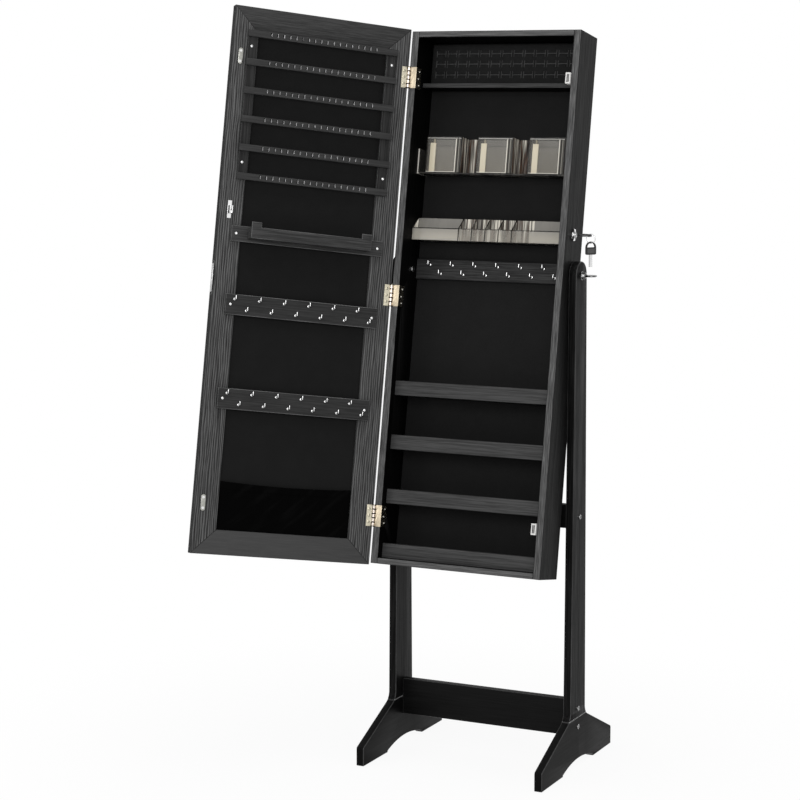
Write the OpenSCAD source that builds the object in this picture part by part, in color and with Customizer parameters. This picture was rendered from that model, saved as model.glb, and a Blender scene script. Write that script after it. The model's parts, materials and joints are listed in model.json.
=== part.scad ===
// Standing jewelry armoire, in millimetres.
// A slim cabinet tilts between two footed posts. Its mirror door hangs on three
// hinges at the left and is drawn open, and the cabinet leans back a little.
// X runs to the right, Y to the back, Z up. The origin is on the floor, under the
// middle of the whole outline with the door open as drawn.

/* [Cabinet] */
// Outside width of the cabinet and of its door
cab_w = 368; // [340:1:420]
// Outside depth of the cabinet
cab_d = 88; // [84:1:110]
// Outside height of the cabinet
cab_h = 1080; // [1000:5:1180]
// Thickness of the side panels
side_t = 15; // [13:0.5:18]
// Thickness of the top and bottom panels
deck_t = 12; // [9:0.5:18]
// Thickness of the back panel
back_t = 5; // [3:0.5:6]
// Thickness of the felt lining on the back panel
lining_t = 1; // [0.5:0.1:2]

/* [Pivot] */
// Lean of the cabinet away from upright, in degrees
tilt = 10.4; // [7:0.1:16]
// Height of the pivot above the floor
pivot_h = 994; // [920:2:1080]
// Pivot behind the cabinet's front edges
pivot_y = 53; // [50:1:56]
// Pivot below the cabinet's top
pivot_drop = 480; // [470:1:495]
// Radius of the pivot bolts
bolt_r = 3; // [2.5:0.25:4]
// Radial clearance of a bolt, pin or plug in its bore
run_fit = 0.05; // [0.02:0.01:0.08]
// Space between the cabinet and each post, filled by a spacer
post_gap = 2; // [1.5:0.5:6]
// Radius of the spacers
spacer_r = 9; // [6:0.5:12]
// Radius of the nuts on the inner walls
pivot_nut_r = 7; // [5.5:0.5:8]
// Thickness of the nuts on the inner walls
pivot_nut_t = 4; // [3:0.5:6]
// Radius of a tilt knob's hub
knob_hub_r = 7; // [6:0.5:9]
// Length of a tilt knob's hub
knob_hub_l = 9; // [7:0.5:14]
// Radius of a tilt knob's round wing
knob_wing_r = 12; // [10:0.5:13]
// Thickness of a tilt knob's wing
knob_wing_t = 3.4; // [2.5:0.1:5]

/* [Stand] */
// Thickness of the posts and feet
post_t = 16.5; // [14:0.5:22]
// Depth of a post just above its flare
post_d = 78; // [70:1:90]
// Radius of a post's round top
post_top_r = 28; // [22:1:30]
// Half of a foot's length, from the centre to the toe
foot_half = 188; // [170:2:230]
// Height of the toe and heel
foot_tip_h = 37.6; // [30:0.2:46]
// Slope of a foot's top edge, in degrees
foot_slope = 24.2; // [20:0.1:26]
// Radius of the flare between post and foot
flare_r = 24; // [20:1:32]
// Height of the joint line below the top of the flare
joint_drop = 17.7; // [10:0.1:19]
// Radius of the rounded toe and heel
toe_r = 6; // [3:0.5:10]
// Length of the front floor pad of a foot
pad_front = 111; // [80:1:130]
// Length of the rear floor pad of a foot
pad_back = 101; // [80:1:130]
// Height of the step at each end of the arch
arch_step = 3; // [2:0.5:5]
// Rise of the arch above its steps
arch_rise = 14; // [10:0.5:18]

/* [Crossbars] */
// Thickness of both crossbars
bar_t = 15; // [12:0.5:20]
// Height of the lower crossbar's underside
low_bar_z = 65; // [58:1:72]
// Height of the lower crossbar's board
low_bar_h = 75.4; // [70:0.2:95]
// Height of the upper crossbar's underside
mid_bar_z = 488; // [420:2:520]
// Height of the upper crossbar's board
mid_bar_h = 48; // [36:1:70]
// Radius of the stand's screws
stand_screw_r = 2.5; // [2:0.25:3]
// Radius of the stand's screw heads
stand_head_r = 5; // [4:0.25:6]
// Length of a stand screw inside its crossbar
stand_bite = 25; // [15:1:40]

/* [Lower shelves] */
// Number of lower bins
bins = 4; // [2:1:4]
// Height from one bin to the next
bin_pitch = 109.4; // [80:0.2:112]
// Height of a bin's front lip
lip_h = 30; // [20:1:45]
// Thickness of a bin's front lip
lip_t = 8; // [5:0.5:12]
// Lip behind the cabinet's front edges
lip_y = 18; // [17:0.5:28]
// Thickness of a bin's floor board
bin_floor_t = 6; // [4:0.5:9]

/* [Ring shelf] */
// Top of the ring shelf below the cabinet's top
ring_drop = 100; // [80:1:115]
// Thickness of the ring shelf
ring_shelf_t = 9; // [6:0.5:12]
// Depth of the ring shelf
ring_shelf_d = 46; // [40:1:55]
// Thickness of the ring pad
ring_pad_t = 17; // [12:0.5:22]
// Space round the soft pads
soft_gap = 0.3; // [0.2:0.1:0.6]

/* [Clear bins] */
// Wall of the clear boxes and of the clear tray
clear_wall = 2.5; // [2:0.1:3.5]
// Thickness of the clear rack under the boxes
clear_rack_t = 3; // [2:0.5:4]
// Underside of the clear rack below the cabinet's top
clear_rack_drop = 285; // [275:1:300]
// Depth of the clear rack
clear_rack_d = 42; // [41.5:0.5:50]
// Height of the clear rack's end plates
clear_end_h = 51; // [30:1:60]
// Width of a clear box
box_w = 78; // [60:1:90]
// Depth of a clear box
box_d = 40; // [30:1:40]
// Height of a clear box
box_h = 74; // [50:1:85]
// Number of clear boxes
box_count = 3; // [3:1:3]

/* [Clear tray] */
// Underside of the clear tray below the cabinet's top
tray_drop = 421; // [419:0.5:425]
// Depth of the clear tray
tray_d = 24.5; // [20:0.5:26]
// Front of the clear tray ahead of the lining
tray_reach = 42; // [36:0.5:42]
// Height of the tray's front wall
tray_front_h = 26; // [18:1:34]
// Height of the tray's back wall
tray_back_h = 48; // [36:1:60]
// Space beside the tray's right end, for the lock's cam
tray_end_gap = 13.5; // [12:0.5:20]
// Number of dividers in the tray
tray_dividers = 5; // [1:1:7]
// Spacing of the dividers
divider_pitch = 29.2; // [20:0.2:32]
// Middle divider to the right of the cabinet's centre
divider_shift = -8.6; // [-20:0.2:20]
// Height of the cleat that carries the tray
cleat_h = 20; // [12:1:26]

/* [Hooks] */
// Number of hooks on a board
hook_count = 12; // [6:2:12]
// Radius of a hook's wire
hook_r = 1.1; // [0.9:0.05:1.4]
// Radius of a hook's round collar
collar_r = 3; // [2.2:0.1:3.4]
// Reach of a hook out of its board
hook_reach = 12.5; // [8:0.5:13.5]
// Rise of a hook's tip
hook_rise = 6.5; // [5:0.5:8]
// Height of the cabinet's hook board
hook_board_h = 41; // [38:1:46]
// Thickness of the cabinet's hook board
hook_board_t = 8; // [6:0.5:10]
// Underside of the cabinet's hook board below the cabinet's top
hook_board_drop = 497; // [494:1:510]
// First hook from the cabinet's inner wall
hook_margin = 31; // [24:1:40]
// Height between the two rows of hooks
hook_rows = 18; // [14:1:20]

/* [Door] */
// Opening angle of the door, in degrees
open_angle = 135.5; // [60:0.1:160]
// Thickness of the door frame
door_t = 18; // [17:0.5:20]
// Door beyond the cabinet at top and bottom
door_over = 3.5; // [0:0.5:5]
// Door beyond the cabinet's side at its free edge
door_side_over = 2; // [0:0.5:6]
// Width of the door's frame boards
frame_w = 49; // [44:1:60]
// Space between the closed door and the cabinet
hinge_gap = 6; // [5.6:0.1:8]
// Depth of the groove that holds the mirror and its panel
groove_d = 8; // [6:0.5:12]
// Thickness of the frame's front lip over the mirror
front_lip_t = 4; // [3:0.5:5]
// Thickness of the mirror
mirror_t = 3; // [2:0.5:4]
// Thickness of the felt covered panel
panel_t = 6; // [4:0.5:6.5]
// Space round the mirror and panel in their groove
groove_fit = 0.4; // [0.2:0.1:1]

/* [Earring rack] */
// Width of the rack
rack_w = 314; // [300:1:316]
// Top of the rack below the cabinet's top
rack_drop = 44; // [40:1:70]
// Number of slats
slats = 6; // [3:1:6]
// Spacing of the slats
slat_pitch = 57; // [45:0.5:60]
// Height of a slat
slat_h = 13; // [12:0.5:18]
// Thickness of the slats and of the rack's stiles
slat_t = 6; // [4:0.5:7]
// Width of the rack's stiles
rack_stile_w = 20; // [17:0.5:24]
// Slat past each stile
slat_over = 2; // [0:0.5:4]
// Number of earring slots in a slat
slot_count = 18; // [6:2:20]
// Width of an earring slot
slot_w = 3; // [2:0.1:3.6]
// Height of an earring slot
slot_h = 7; // [5:0.5:8]
// First slot from the end of a slat
slot_margin = 47; // [40:1:60]

/* [Door boards] */
// Width of the boards on the door
board_w = 314; // [300:1:326]
// Height of the two hook boards on the door
door_board_h = 41; // [38:1:50]
// Thickness of the boards on the door
door_board_t = 7; // [5:0.5:8]
// Underside of the upper hook board
board_a_z = 469.5; // [450:0.5:480]
// Underside of the lower hook board
board_b_z = 283.5; // [270:0.5:300]
// First hook from the end of a door board
door_hook_margin = 17.3; // [15:0.1:25]
// Height between the two rows of hooks on the door
door_hook_rows = 21; // [16:1:24]
// Screws from the ends of the boards
screw_inset = 10; // [6:0.5:12]

/* [Door ledge] */
// Underside of the ledge's rail below the cabinet's top
ledge_drop = 465; // [464:1:470]
// Height of the ledge's rail
ledge_rail_h = 31; // [24:1:34]
// Width of the ledge's trough
trough_w = 248; // [200:1:270]
// Trough from the rail to its front face
trough_d = 30; // [22:0.5:31]
// Thickness of the trough's boards
trough_t = 5; // [3:0.5:6]
// Height of the trough's front board
trough_h = 22; // [16:1:26]
// Trough's underside above the rail's underside
trough_rise = 7; // [3:0.5:9]
// Width of the raised tabs at the ends of the trough
tab_w = 20; // [14:1:30]
// Height of the raised tabs above the front board
tab_h = 10; // [5:1:10]

/* [Pouch] */
// Height of the pouch
pouch_h = 96; // [70:1:110]
// Pouch in front of the frame's inner face
pouch_out = 4.4; // [4:0.1:6]
// Thickness of the pouch's cloth
cloth_t = 1; // [0.6:0.1:1.2]

/* [Door hardware] */
// Height of a hinge
hinge_h = 43; // [35:1:60]
// Outer hinges from the top and bottom of the cabinet
hinge_inset = 95; // [80:1:98]
// Thickness of a hinge leaf
leaf_t = 1.2; // [0.9:0.1:1.5]
// Width of the door's hinge leaf
door_leaf_w = 14; // [12:0.5:18]
// Cabinet's hinge leaf along the inner wall
wall_leaf_w = 21; // [19:0.5:24]
// Radius of a hinge pin
pin_r = 1.4; // [1.2:0.1:1.6]
// Radius of a door screw's head
screw_head_r = 2.9; // [2.4:0.1:3.2]
// Radius of a door screw's shank
screw_r = 1.5; // [1.2:0.1:1.8]
// Length of a door screw in the wood
screw_bite = 4; // [3:0.5:4]
// Catches from the top and bottom of the cabinet
catch_inset = 97; // [86:1:100]
// Width of a catch
catch_w = 10; // [9:0.5:11]
// Height of a catch
catch_h = 22; // [18:1:26]
// Depth of a catch behind the cabinet's front edges
catch_d = 15; // [10:0.5:16]
// Space between a catch and its strike
catch_gap = 0.3; // [0.2:0.1:1]
// Height of a strike plate
strike_h = 33; // [26:1:40]
// Width of a strike plate
strike_w = 9.5; // [8:0.5:12]
// Strike plates from the door's free edge
strike_inset = 18; // [16:0.5:20]
// Height of the finger hollow in the door's free edge
pull_h = 74; // [60:1:100]
// Depth of the finger hollow
pull_d = 5; // [3:0.5:7]
// Thickness of the edge pull's plate
pull_t = 1.5; // [1:0.1:2.5]
// Height of the edge pull's plate
pull_plate_h = 57; // [44:1:70]
// Width of the edge pull's plate
pull_plate_w = 9; // [6:0.5:11]
// Edge pull's plate from the mirror's side of the door
pull_edge = 1.5; // [1:0.5:2.5]
// Wood left in front of the finger hollow
pull_lip_t = 3.5; // [3:0.5:5]

/* [Lock] */
// Lock below the cabinet's top
lock_drop = 401.5; // [395:0.5:408]
// Lock behind the cabinet's front edges
lock_y = 38.6; // [37:0.2:42]
// Radius of the lock's barrel
lock_r = 9; // [8:0.5:10]
// Radius of the lock's outer collar
lock_collar_r = 12; // [11:0.5:14]
// Thickness of the lock's outer collar
lock_collar_t = 3; // [2:0.5:4]
// Radius of the turning plug
plug_r = 6; // [5:0.25:6.5]
// Thickness of the nut on the lock's barrel
lock_nut_t = 3; // [2.5:0.5:4]
// Thickness of the cam
cam_t = 2.2; // [1.6:0.1:2.4]
// Half height of the cam's arm
cam_half = 3.5; // [3:0.1:4]

/* [Keys] */
// Length of a key's head
head_l = 26; // [22:0.5:30]
// Width of a key's head
head_w = 24; // [20:0.5:26]
// Thickness of a key's head
head_t = 3.6; // [2.4:0.1:4]
// Length of a key's blade
blade_l = 24; // [20:0.5:28]
// Width of a key's blade
blade_w = 7; // [5:0.2:8]
// Thickness of a key's blade
blade_t = 2; // [1.4:0.1:2.4]
// Blade that stands out of the lock
blade_out = 9; // [7:0.5:12]
// Radius of the hole in a key's head
head_hole_r = 5; // [4.6:0.1:6]
// Width of the rim round that hole
head_rim = 2.6; // [2:0.1:3.2]
// Radius of the key ring, to the middle of its wire
ring_r = 9.25; // [8.5:0.25:11]
// Radius of the key ring's wire
ring_wire = 0.6; // [0.5:0.05:0.7]
// Turn of the hanging key on its ring, in degrees
spare_turn = 35; // [0:1:40]

/* [Hidden] */
$fn = 64;
eps = 0.01;

// Inside of the cabinet
in_w = cab_w - 2 * side_t;
in_x = in_w / 2;
out_x = cab_w / 2;
lining_y = cab_d - back_t - lining_t;
pivot_z = cab_h - pivot_drop;
post_x = out_x + post_gap;

// Stand
flare_y = post_d / 2 + flare_r;
flare_z = foot_tip_h + (foot_half - flare_y) * tan(foot_slope) + flare_r / cos(foot_slope);
joint_z = flare_z - joint_drop;
heel_y = foot_half - toe_r;
heel_z = foot_tip_h + toe_r * tan(foot_slope) - toe_r / cos(foot_slope);
arch_y0 = -foot_half + pad_front;
arch_y1 = foot_half - pad_back;
arch_r = (pow((arch_y1 - arch_y0) / 2, 2) + pow(arch_rise, 2)) / (2 * arch_rise);
low_bar_top = low_bar_z + low_bar_h;
foot_screw_z = (low_bar_z + joint_z) / 2;
post_screw_z = (joint_z + low_bar_top) / 2;
mid_screw_z = mid_bar_z + mid_bar_h / 2;
screw_fit = 0.1;
fitting_gap = 0.5;
leaf_screw_edge = 4.5;
leaf_screw_step = 13;
wall_screw_step = 14;
wall_screw_far = 16;
wall_screw_near = 12;
wall_screw_drop = 1;
keeper_deep = 5;
keeper_bar_t = 3;

// Fittings in the cabinet, measured down from its top
ring_shelf_z = cab_h - ring_drop;
clear_rack_z = cab_h - clear_rack_drop;
clear_rack_y = lining_y - clear_rack_d;
box_pitch = in_w / box_count;
box_y = lining_y - box_d - 1;
tray_z = cab_h - tray_drop;
tray_y = lining_y - tray_reach;
tray_x0 = -in_x;
tray_x1 = in_x - tray_end_gap;
board_z = cab_h - hook_board_drop;
board_y = lining_y - hook_board_t;

// Door
door_z0 = -door_over;
door_z1 = cab_h + door_over;
free_u = cab_w + door_side_over;
groove_y1 = -door_t + front_lip_t;
groove_y0 = groove_y1 + mirror_t + panel_t;
rack_u0 = (free_u - rack_w) / 2;
rack_u1 = rack_u0 + rack_w;
rack_z1 = cab_h - rack_drop;
rack_z0 = rack_z1 - (slats - 1) * slat_pitch - slat_h;
board_u0 = (free_u - board_w) / 2;
board_u1 = board_u0 + board_w;
board_screw_u = min(board_u0 + screw_inset, (board_u0 + frame_w) / 2);
ledge_z = cab_h - ledge_drop;
trough_u0 = (free_u - trough_w) / 2;
trough_u1 = trough_u0 + trough_w;
trough_z = ledge_z + trough_rise;
trough_y = door_board_t + trough_d;
hinge_z = [hinge_inset, cab_h / 2, cab_h - hinge_inset];
knuckles = 5;
knuckle_h = hinge_h / knuckles;
knuckle_r = hinge_gap / 2 - 0.1;
knuckle_gap = 0.15;
leaf_root = knuckle_r + 0.3;
catch_z = [catch_inset, cab_h - catch_inset];
strike_u = free_u - strike_inset;
strike_t = hinge_gap - catch_gap - 4.5;
pull_z = cab_h / 2;
pull_r = (pow(pull_h / 2, 2) + pow(pull_d, 2)) / (2 * pull_d);

// Lock: its cam lies between the barrel's nut and the tray
lock_z = cab_h - lock_drop;
cam_x1 = in_x - lock_nut_t - 0.4;
cam_x0 = cam_x1 - cam_t;
cam_mid = (cam_x0 + cam_x1) / 2;
cam_reach = 34;
cam_hook = 9.5;
plug_x1 = out_x + lock_collar_t + 0.6;
tail_r = 3;
cheek_gap = 0.5;
cheek_t = 1.6;
lock_plate_w = 8;
lock_plate_down = 19;
lock_plate_up = 16;

// Keys and ring
key_x = out_x + lock_collar_t + blade_out;
rim_x = key_x + head_l - head_rim / 2;
rim_reach = sqrt(pow(head_t / 2, 2) + pow(head_rim / 2, 2)) + 0.1;
lock_w_y = (lock_y - pivot_y) * cos(tilt) + (lock_z - pivot_z) * sin(tilt);
lock_w_z = pivot_h - (lock_y - pivot_y) * sin(tilt) + (lock_z - pivot_z) * cos(tilt);
ring_z = lock_w_z + rim_reach + ring_wire - ring_r;
hang_gap = 0.6;
spare_top = ring_z - ring_r + ring_wire + hang_gap + head_rim;

// Middle of the outline on the floor, with the door open
function cabinet_point(p) = [p[0],
  (p[1] - pivot_y) * cos(tilt) + (p[2] - pivot_z) * sin(tilt),
  pivot_h - (p[1] - pivot_y) * sin(tilt) + (p[2] - pivot_z) * cos(tilt)];
function door_point(p) = let (y = p[1] - hinge_gap / 2) cabinet_point([
  p[0] * cos(open_angle) + y * sin(open_angle) - out_x,
  y * cos(open_angle) - p[0] * sin(open_angle) - hinge_gap / 2, p[2]]);
door_ends = [for (y = [-door_t, 0]) for (z = [door_z0, door_z1]) door_point([free_u, y, z])];
knob_x1 = post_x + post_t + knob_hub_l - 2 + 2 * knob_wing_r;
all_x = concat([-knob_x1, knob_x1], [for (p = door_ends) p[0]]);
all_y = concat([-foot_half, foot_half], [for (p = door_ends) p[1]]);
mid_x = (min(all_x) + max(all_x)) / 2;
mid_y = (min(all_y) + max(all_y)) / 2;

// Colours
ebony = [0.20, 0.19, 0.19];
ebony_light = [0.27, 0.26, 0.26];
ebony_dark = [0.13, 0.13, 0.13];
felt_black = [0.08, 0.08, 0.09];
clear_grey = [0.80, 0.78, 0.70, 0.5];
bright = [0.82, 0.82, 0.84];
nickel = [0.72, 0.70, 0.64];
plastic_black = [0.07, 0.07, 0.07];

// Puts the origin under the middle of the outline
module placed() {
  translate([-mid_x, -mid_y, 0]) children();
}

// Places the cabinet's own frame in the stand: x from the middle, y from the
// front edges, z from the underside
module in_cabinet() {
  translate([0, 0, pivot_h]) rotate([-tilt, 0, 0]) translate([0, -pivot_y, -pivot_z]) children();
}

// Places the door's own frame in the cabinet: x from the hinge edge, y out of
// the inner face, z as the cabinet's
module in_door() {
  in_cabinet() translate([-out_x, -hinge_gap / 2, 0]) rotate([0, 0, -open_angle])
    translate([0, -hinge_gap / 2, 0]) children();
}

// Box between two corners
module block(lo, hi) {
  translate(lo) cube(hi - lo);
}

// Rod along X, Y or Z from a point
module rod_x(p, r, l) {
  translate(p) rotate([0, 90, 0]) cylinder(r = r, h = l);
}
module rod_y(p, r, l) {
  translate(p) rotate([-90, 0, 0]) cylinder(r = r, h = l);
}
module rod_z(p, r, l) {
  translate(p) cylinder(r = r, h = l);
}

// Board outline drawn in (y, z) and given a thickness along x
module side_board(x0, t) {
  translate([x0, 0, 0]) rotate([90, 0, 90]) linear_extrude(t) children();
}

// ---- Stand ----

module stand_screw_holes(x0, l, r) {
  for (z = [post_screw_z, mid_screw_z, foot_screw_z]) rod_x([x0, 0, z], r, l);
}

module flare_cut(x0) {
  for (s = [-1, 1]) rod_x([x0 - 1, s * flare_y, flare_z], flare_r, post_t + 2);
}

module post(x0) {
  difference() {
    union() {
      side_board(x0, post_t) polygon([
        [-flare_y, joint_z], [flare_y, joint_z], [flare_y, flare_z],
        [post_d / 2, flare_z], [post_top_r, pivot_h], [-post_top_r, pivot_h],
        [-post_d / 2, flare_z], [-flare_y, flare_z]
      ]);
      rod_x([x0, 0, pivot_h], post_top_r, post_t);
    }
    flare_cut(x0);
    rod_x([x0 - 1, 0, pivot_h], bolt_r + run_fit, post_t + 2);
    stand_screw_holes(x0 - 1, post_t + 2, stand_screw_r + screw_fit);
  }
}

module foot(x0) {
  ty = flare_y - flare_r * sin(foot_slope);
  tz = flare_z - flare_r * cos(foot_slope);
  hy = heel_y + toe_r * sin(foot_slope);
  hz = heel_z + toe_r * cos(foot_slope);
  difference() {
    union() {
      side_board(x0, post_t) polygon([
        [-foot_half, 0], [foot_half, 0], [foot_half, heel_z], [hy, hz],
        [ty, tz], [ty, joint_z], [-ty, joint_z], [-ty, tz],
        [-hy, hz], [-foot_half, heel_z]
      ]);
      for (s = [-1, 1]) rod_x([x0, s * heel_y, heel_z], toe_r, post_t);
    }
    flare_cut(x0);
    intersection() {
      rod_x([x0 - 1, (arch_y0 + arch_y1) / 2, arch_step + arch_rise - arch_r], arch_r, post_t + 2);
      block([x0 - 1, arch_y0, -1], [x0 + post_t + 1, arch_y1, arch_step + arch_rise + 1]);
    }
    rod_x([x0 - 1, 0, foot_screw_z], stand_screw_r + screw_fit, post_t + 2);
  }
}

module left_post() { color(ebony) post(-post_x - post_t); }
module right_post() { color(ebony) post(post_x); }
module left_foot() { color(ebony) foot(-post_x - post_t); }
module right_foot() { color(ebony) foot(post_x); }

module crossbar(z0, h) {
  difference() {
    block([-post_x, -bar_t / 2, z0], [post_x, bar_t / 2, z0 + h]);
    stand_screw_holes(-post_x - 1, stand_bite + 2, stand_screw_r + screw_fit);
    stand_screw_holes(post_x - stand_bite - 1, stand_bite + 2, stand_screw_r + screw_fit);
  }
}

module lower_crossbar() { color(ebony_dark) crossbar(low_bar_z, low_bar_h); }
module upper_crossbar() { color(ebony_dark) crossbar(mid_bar_z, mid_bar_h); }

// Round headed screw along +X, its head's flat at x = 0
module stand_screw() {
  rotate([0, 90, 0]) rotate_extrude() polygon([
    [0, -stand_bite - post_t], [stand_screw_r, -stand_bite - post_t],
    [stand_screw_r, 0], [stand_head_r, 0], [stand_head_r, 0.8],
    [stand_head_r * 0.8, 1.9], [stand_head_r * 0.4, 2.6], [0, 2.8]
  ]);
}

module stand_screws() {
  color(bright) for (z = [foot_screw_z, post_screw_z, mid_screw_z]) {
    translate([post_x + post_t, 0, z]) stand_screw();
    mirror([1, 0, 0]) translate([post_x + post_t, 0, z]) stand_screw();
  }
}

// ---- Tilt pivot ----

module both_sides() {
  children();
  mirror([1, 0, 0]) children();
}

// The bolt's head and its nut grip the cabinet's side, and it turns in the post
module pivot_bolts() {
  color(bright) in_cabinet() translate([0, pivot_y, pivot_z]) both_sides() {
    rod_x([in_x - pivot_nut_t, 0, 0], bolt_r, post_x + post_t + knob_hub_l - 1 - in_x + pivot_nut_t);
    translate([in_x - pivot_nut_t, 0, 0]) rotate([0, 90, 0])
      rotate_extrude() polygon([[0, 0], [pivot_nut_r - 1.5, 0], [pivot_nut_r, 1.5],
        [pivot_nut_r, pivot_nut_t], [0, pivot_nut_t]]);
  }
}

module pivot_spacers() {
  color(plastic_black) in_cabinet() translate([0, pivot_y, pivot_z]) both_sides()
    difference() {
      rod_x([out_x, 0, 0], spacer_r, post_gap);
      rod_x([out_x - 1, 0, 0], bolt_r + run_fit, post_gap + 2);
    }
}

// Hub with a flange, and a round wing across its end
module tilt_knob() {
  x0 = post_x + post_t;
  wx = x0 + knob_hub_l - 2 + knob_wing_r;
  difference() {
    union() {
      translate([x0, 0, 0]) rotate([0, 90, 0]) rotate_extrude() polygon([
        [0, 0], [knob_hub_r + 2, 0], [knob_hub_r + 2, 1.2], [knob_hub_r, 2],
        [knob_hub_r - 1, knob_hub_l - 1], [knob_hub_r - 2, knob_hub_l],
        [0, knob_hub_l]
      ]);
      translate([wx, 0, 0]) rotate_extrude() polygon([
        [0, -knob_wing_t / 2], [knob_wing_r - 1, -knob_wing_t / 2],
        [knob_wing_r, -knob_wing_t / 2 + 1], [knob_wing_r, knob_wing_t / 2 - 1],
        [knob_wing_r - 1, knob_wing_t / 2], [0, knob_wing_t / 2]
      ]);
    }
    rod_x([x0 - 1, 0, 0], bolt_r + run_fit, knob_hub_l + 0.5);
  }
}

module right_tilt_knob() { color(bright) translate([0, 0, pivot_h]) tilt_knob(); }
module left_tilt_knob() { color(bright) translate([0, 0, pivot_h]) mirror([1, 0, 0]) tilt_knob(); }

// ---- Cabinet case ----

module side_panel() {
  difference() {
    block([in_x, 0, 0], [out_x, cab_d, cab_h]);
    rod_x([in_x - 1, pivot_y, pivot_z], bolt_r + run_fit, side_t + 2);
    children();
  }
}

module cabinet_left_side() {
  color(ebony) in_cabinet() mirror([1, 0, 0]) side_panel() hinge_screw_holes();
}
module cabinet_right_side() {
  color(ebony) in_cabinet() side_panel()
    rod_x([in_x - 1, lock_y, lock_z], lock_r + run_fit, side_t + 2);
}
module cabinet_top() {
  color(ebony) in_cabinet() block([-in_x, 0, cab_h - deck_t], [in_x, cab_d, cab_h]);
}
module cabinet_bottom() {
  color(ebony) in_cabinet() block([-in_x, 0, 0], [in_x, cab_d, deck_t]);
}
module cabinet_back() {
  color(ebony_dark) in_cabinet()
    block([-in_x, cab_d - back_t, deck_t], [in_x, cab_d, cab_h - deck_t]);
}
module back_lining() {
  color(felt_black) in_cabinet()
    block([-in_x, lining_y, deck_t], [in_x, cab_d - back_t, cab_h - deck_t]);
}

// ---- Fittings in the cabinet ----

module ring_shelf() {
  color(ebony_dark) in_cabinet() block([-in_x, lining_y - ring_shelf_d, ring_shelf_z - ring_shelf_t],
    [in_x, lining_y, ring_shelf_z]);
}
module ring_pad() {
  color(felt_black) in_cabinet() block(
    [-in_x + soft_gap, lining_y - soft_gap - ring_pad_t, ring_shelf_z + soft_gap],
    [in_x - soft_gap, lining_y - soft_gap, cab_h - deck_t - soft_gap]);
}

// The lowest bin stands on the cabinet's bottom panel
module bin_floors() {
  color(ebony_dark) in_cabinet() for (i = [1 : bins - 1])
    block([-in_x, lip_y + lip_t, deck_t + i * bin_pitch],
      [in_x, lining_y, deck_t + i * bin_pitch + bin_floor_t]);
}
module bin_lips() {
  color(ebony_light) in_cabinet() for (i = [0 : bins - 1])
    block([-in_x, lip_y, deck_t + i * bin_pitch],
      [in_x, lip_y + lip_t, deck_t + i * bin_pitch + lip_h]);
}

// One wire hook: collar on the board, arm out along +Y, tip turned up
module hook() {
  rotate([-90, 0, 0]) rotate_extrude() polygon([
    [0, 0], [collar_r * 0.75, 0], [collar_r * 0.95, collar_r * 0.2],
    [collar_r, collar_r * 0.45], [collar_r * 0.9, collar_r * 0.7],
    [collar_r * 0.6, collar_r * 0.92], [hook_r, collar_r],
    [hook_r, hook_reach], [0, hook_reach]
  ]);
  translate([0, hook_reach, 0]) {
    sphere(r = hook_r);
    cylinder(r = hook_r, h = hook_rise);
    translate([0, 0, hook_rise]) sphere(r = hook_r);
  }
}

module cabinet_hook_board() {
  color(ebony_dark) in_cabinet()
    block([-in_x, board_y, board_z], [in_x, lining_y, board_z + hook_board_h]);
}
module cabinet_hooks() {
  pitch = (in_w - 2 * hook_margin) / (hook_count - 1);
  color(bright) in_cabinet() for (i = [0 : hook_count - 1])
    translate([-in_x + hook_margin + i * pitch, board_y,
      board_z + hook_board_h / 2 + hook_rows * (0.5 - i % 2)])
      mirror([0, 1, 0]) hook($fn = 24);
}

// Clear rack: one plate with a raised plate at each wall
module clear_rack() {
  color(clear_grey) in_cabinet() {
    block([-in_x, clear_rack_y, clear_rack_z], [in_x, lining_y, clear_rack_z + clear_rack_t]);
    both_sides() block([in_x - clear_rack_t, clear_rack_y, clear_rack_z],
      [in_x, lining_y - 2, clear_rack_z + clear_end_h]);
  }
}

module clear_box(i) {
  x = -in_x + (i + 0.5) * box_pitch;
  z = clear_rack_z + clear_rack_t;
  in_cabinet() difference() {
    block([x - box_w / 2, box_y, z], [x + box_w / 2, box_y + box_d, z + box_h]);
    block([x - box_w / 2 + clear_wall, box_y + clear_wall, z + clear_wall],
      [x + box_w / 2 - clear_wall, box_y + box_d - clear_wall, z + box_h + 1]);
  }
}
module clear_box_left() { color(clear_grey) clear_box(0); }
module clear_box_middle() { color(clear_grey) clear_box((box_count - 1) / 2); }
module clear_box_right() { color(clear_grey) clear_box(box_count - 1); }

// Clear tray: the ends and dividers slope from the low front to the high back
module clear_tray() {
  y1 = tray_y + tray_d;
  mid = floor(tray_dividers / 2);
  ends = [tray_x0, tray_x1 - clear_wall];
  inner = [for (i = [0 : tray_dividers - 1]) divider_shift + (i - mid) * divider_pitch];
  color(clear_grey) in_cabinet() {
    block([tray_x0, tray_y, tray_z], [tray_x1, y1, tray_z + clear_wall]);
    block([tray_x0, tray_y, tray_z], [tray_x1, tray_y + clear_wall, tray_z + tray_front_h]);
    block([tray_x0, y1 - clear_wall, tray_z], [tray_x1, y1, tray_z + tray_back_h]);
    for (x = concat(ends, inner)) side_board(x, clear_wall) polygon([
      [tray_y, tray_z], [y1, tray_z], [y1, tray_z + tray_back_h],
      [y1 - clear_wall, tray_z + tray_back_h], [tray_y, tray_z + tray_front_h]
    ]);
  }
}
module tray_cleat() {
  color(plastic_black) in_cabinet()
    block([tray_x0, tray_y + tray_d, tray_z], [tray_x1, lining_y, tray_z + cleat_h]);
}

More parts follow.
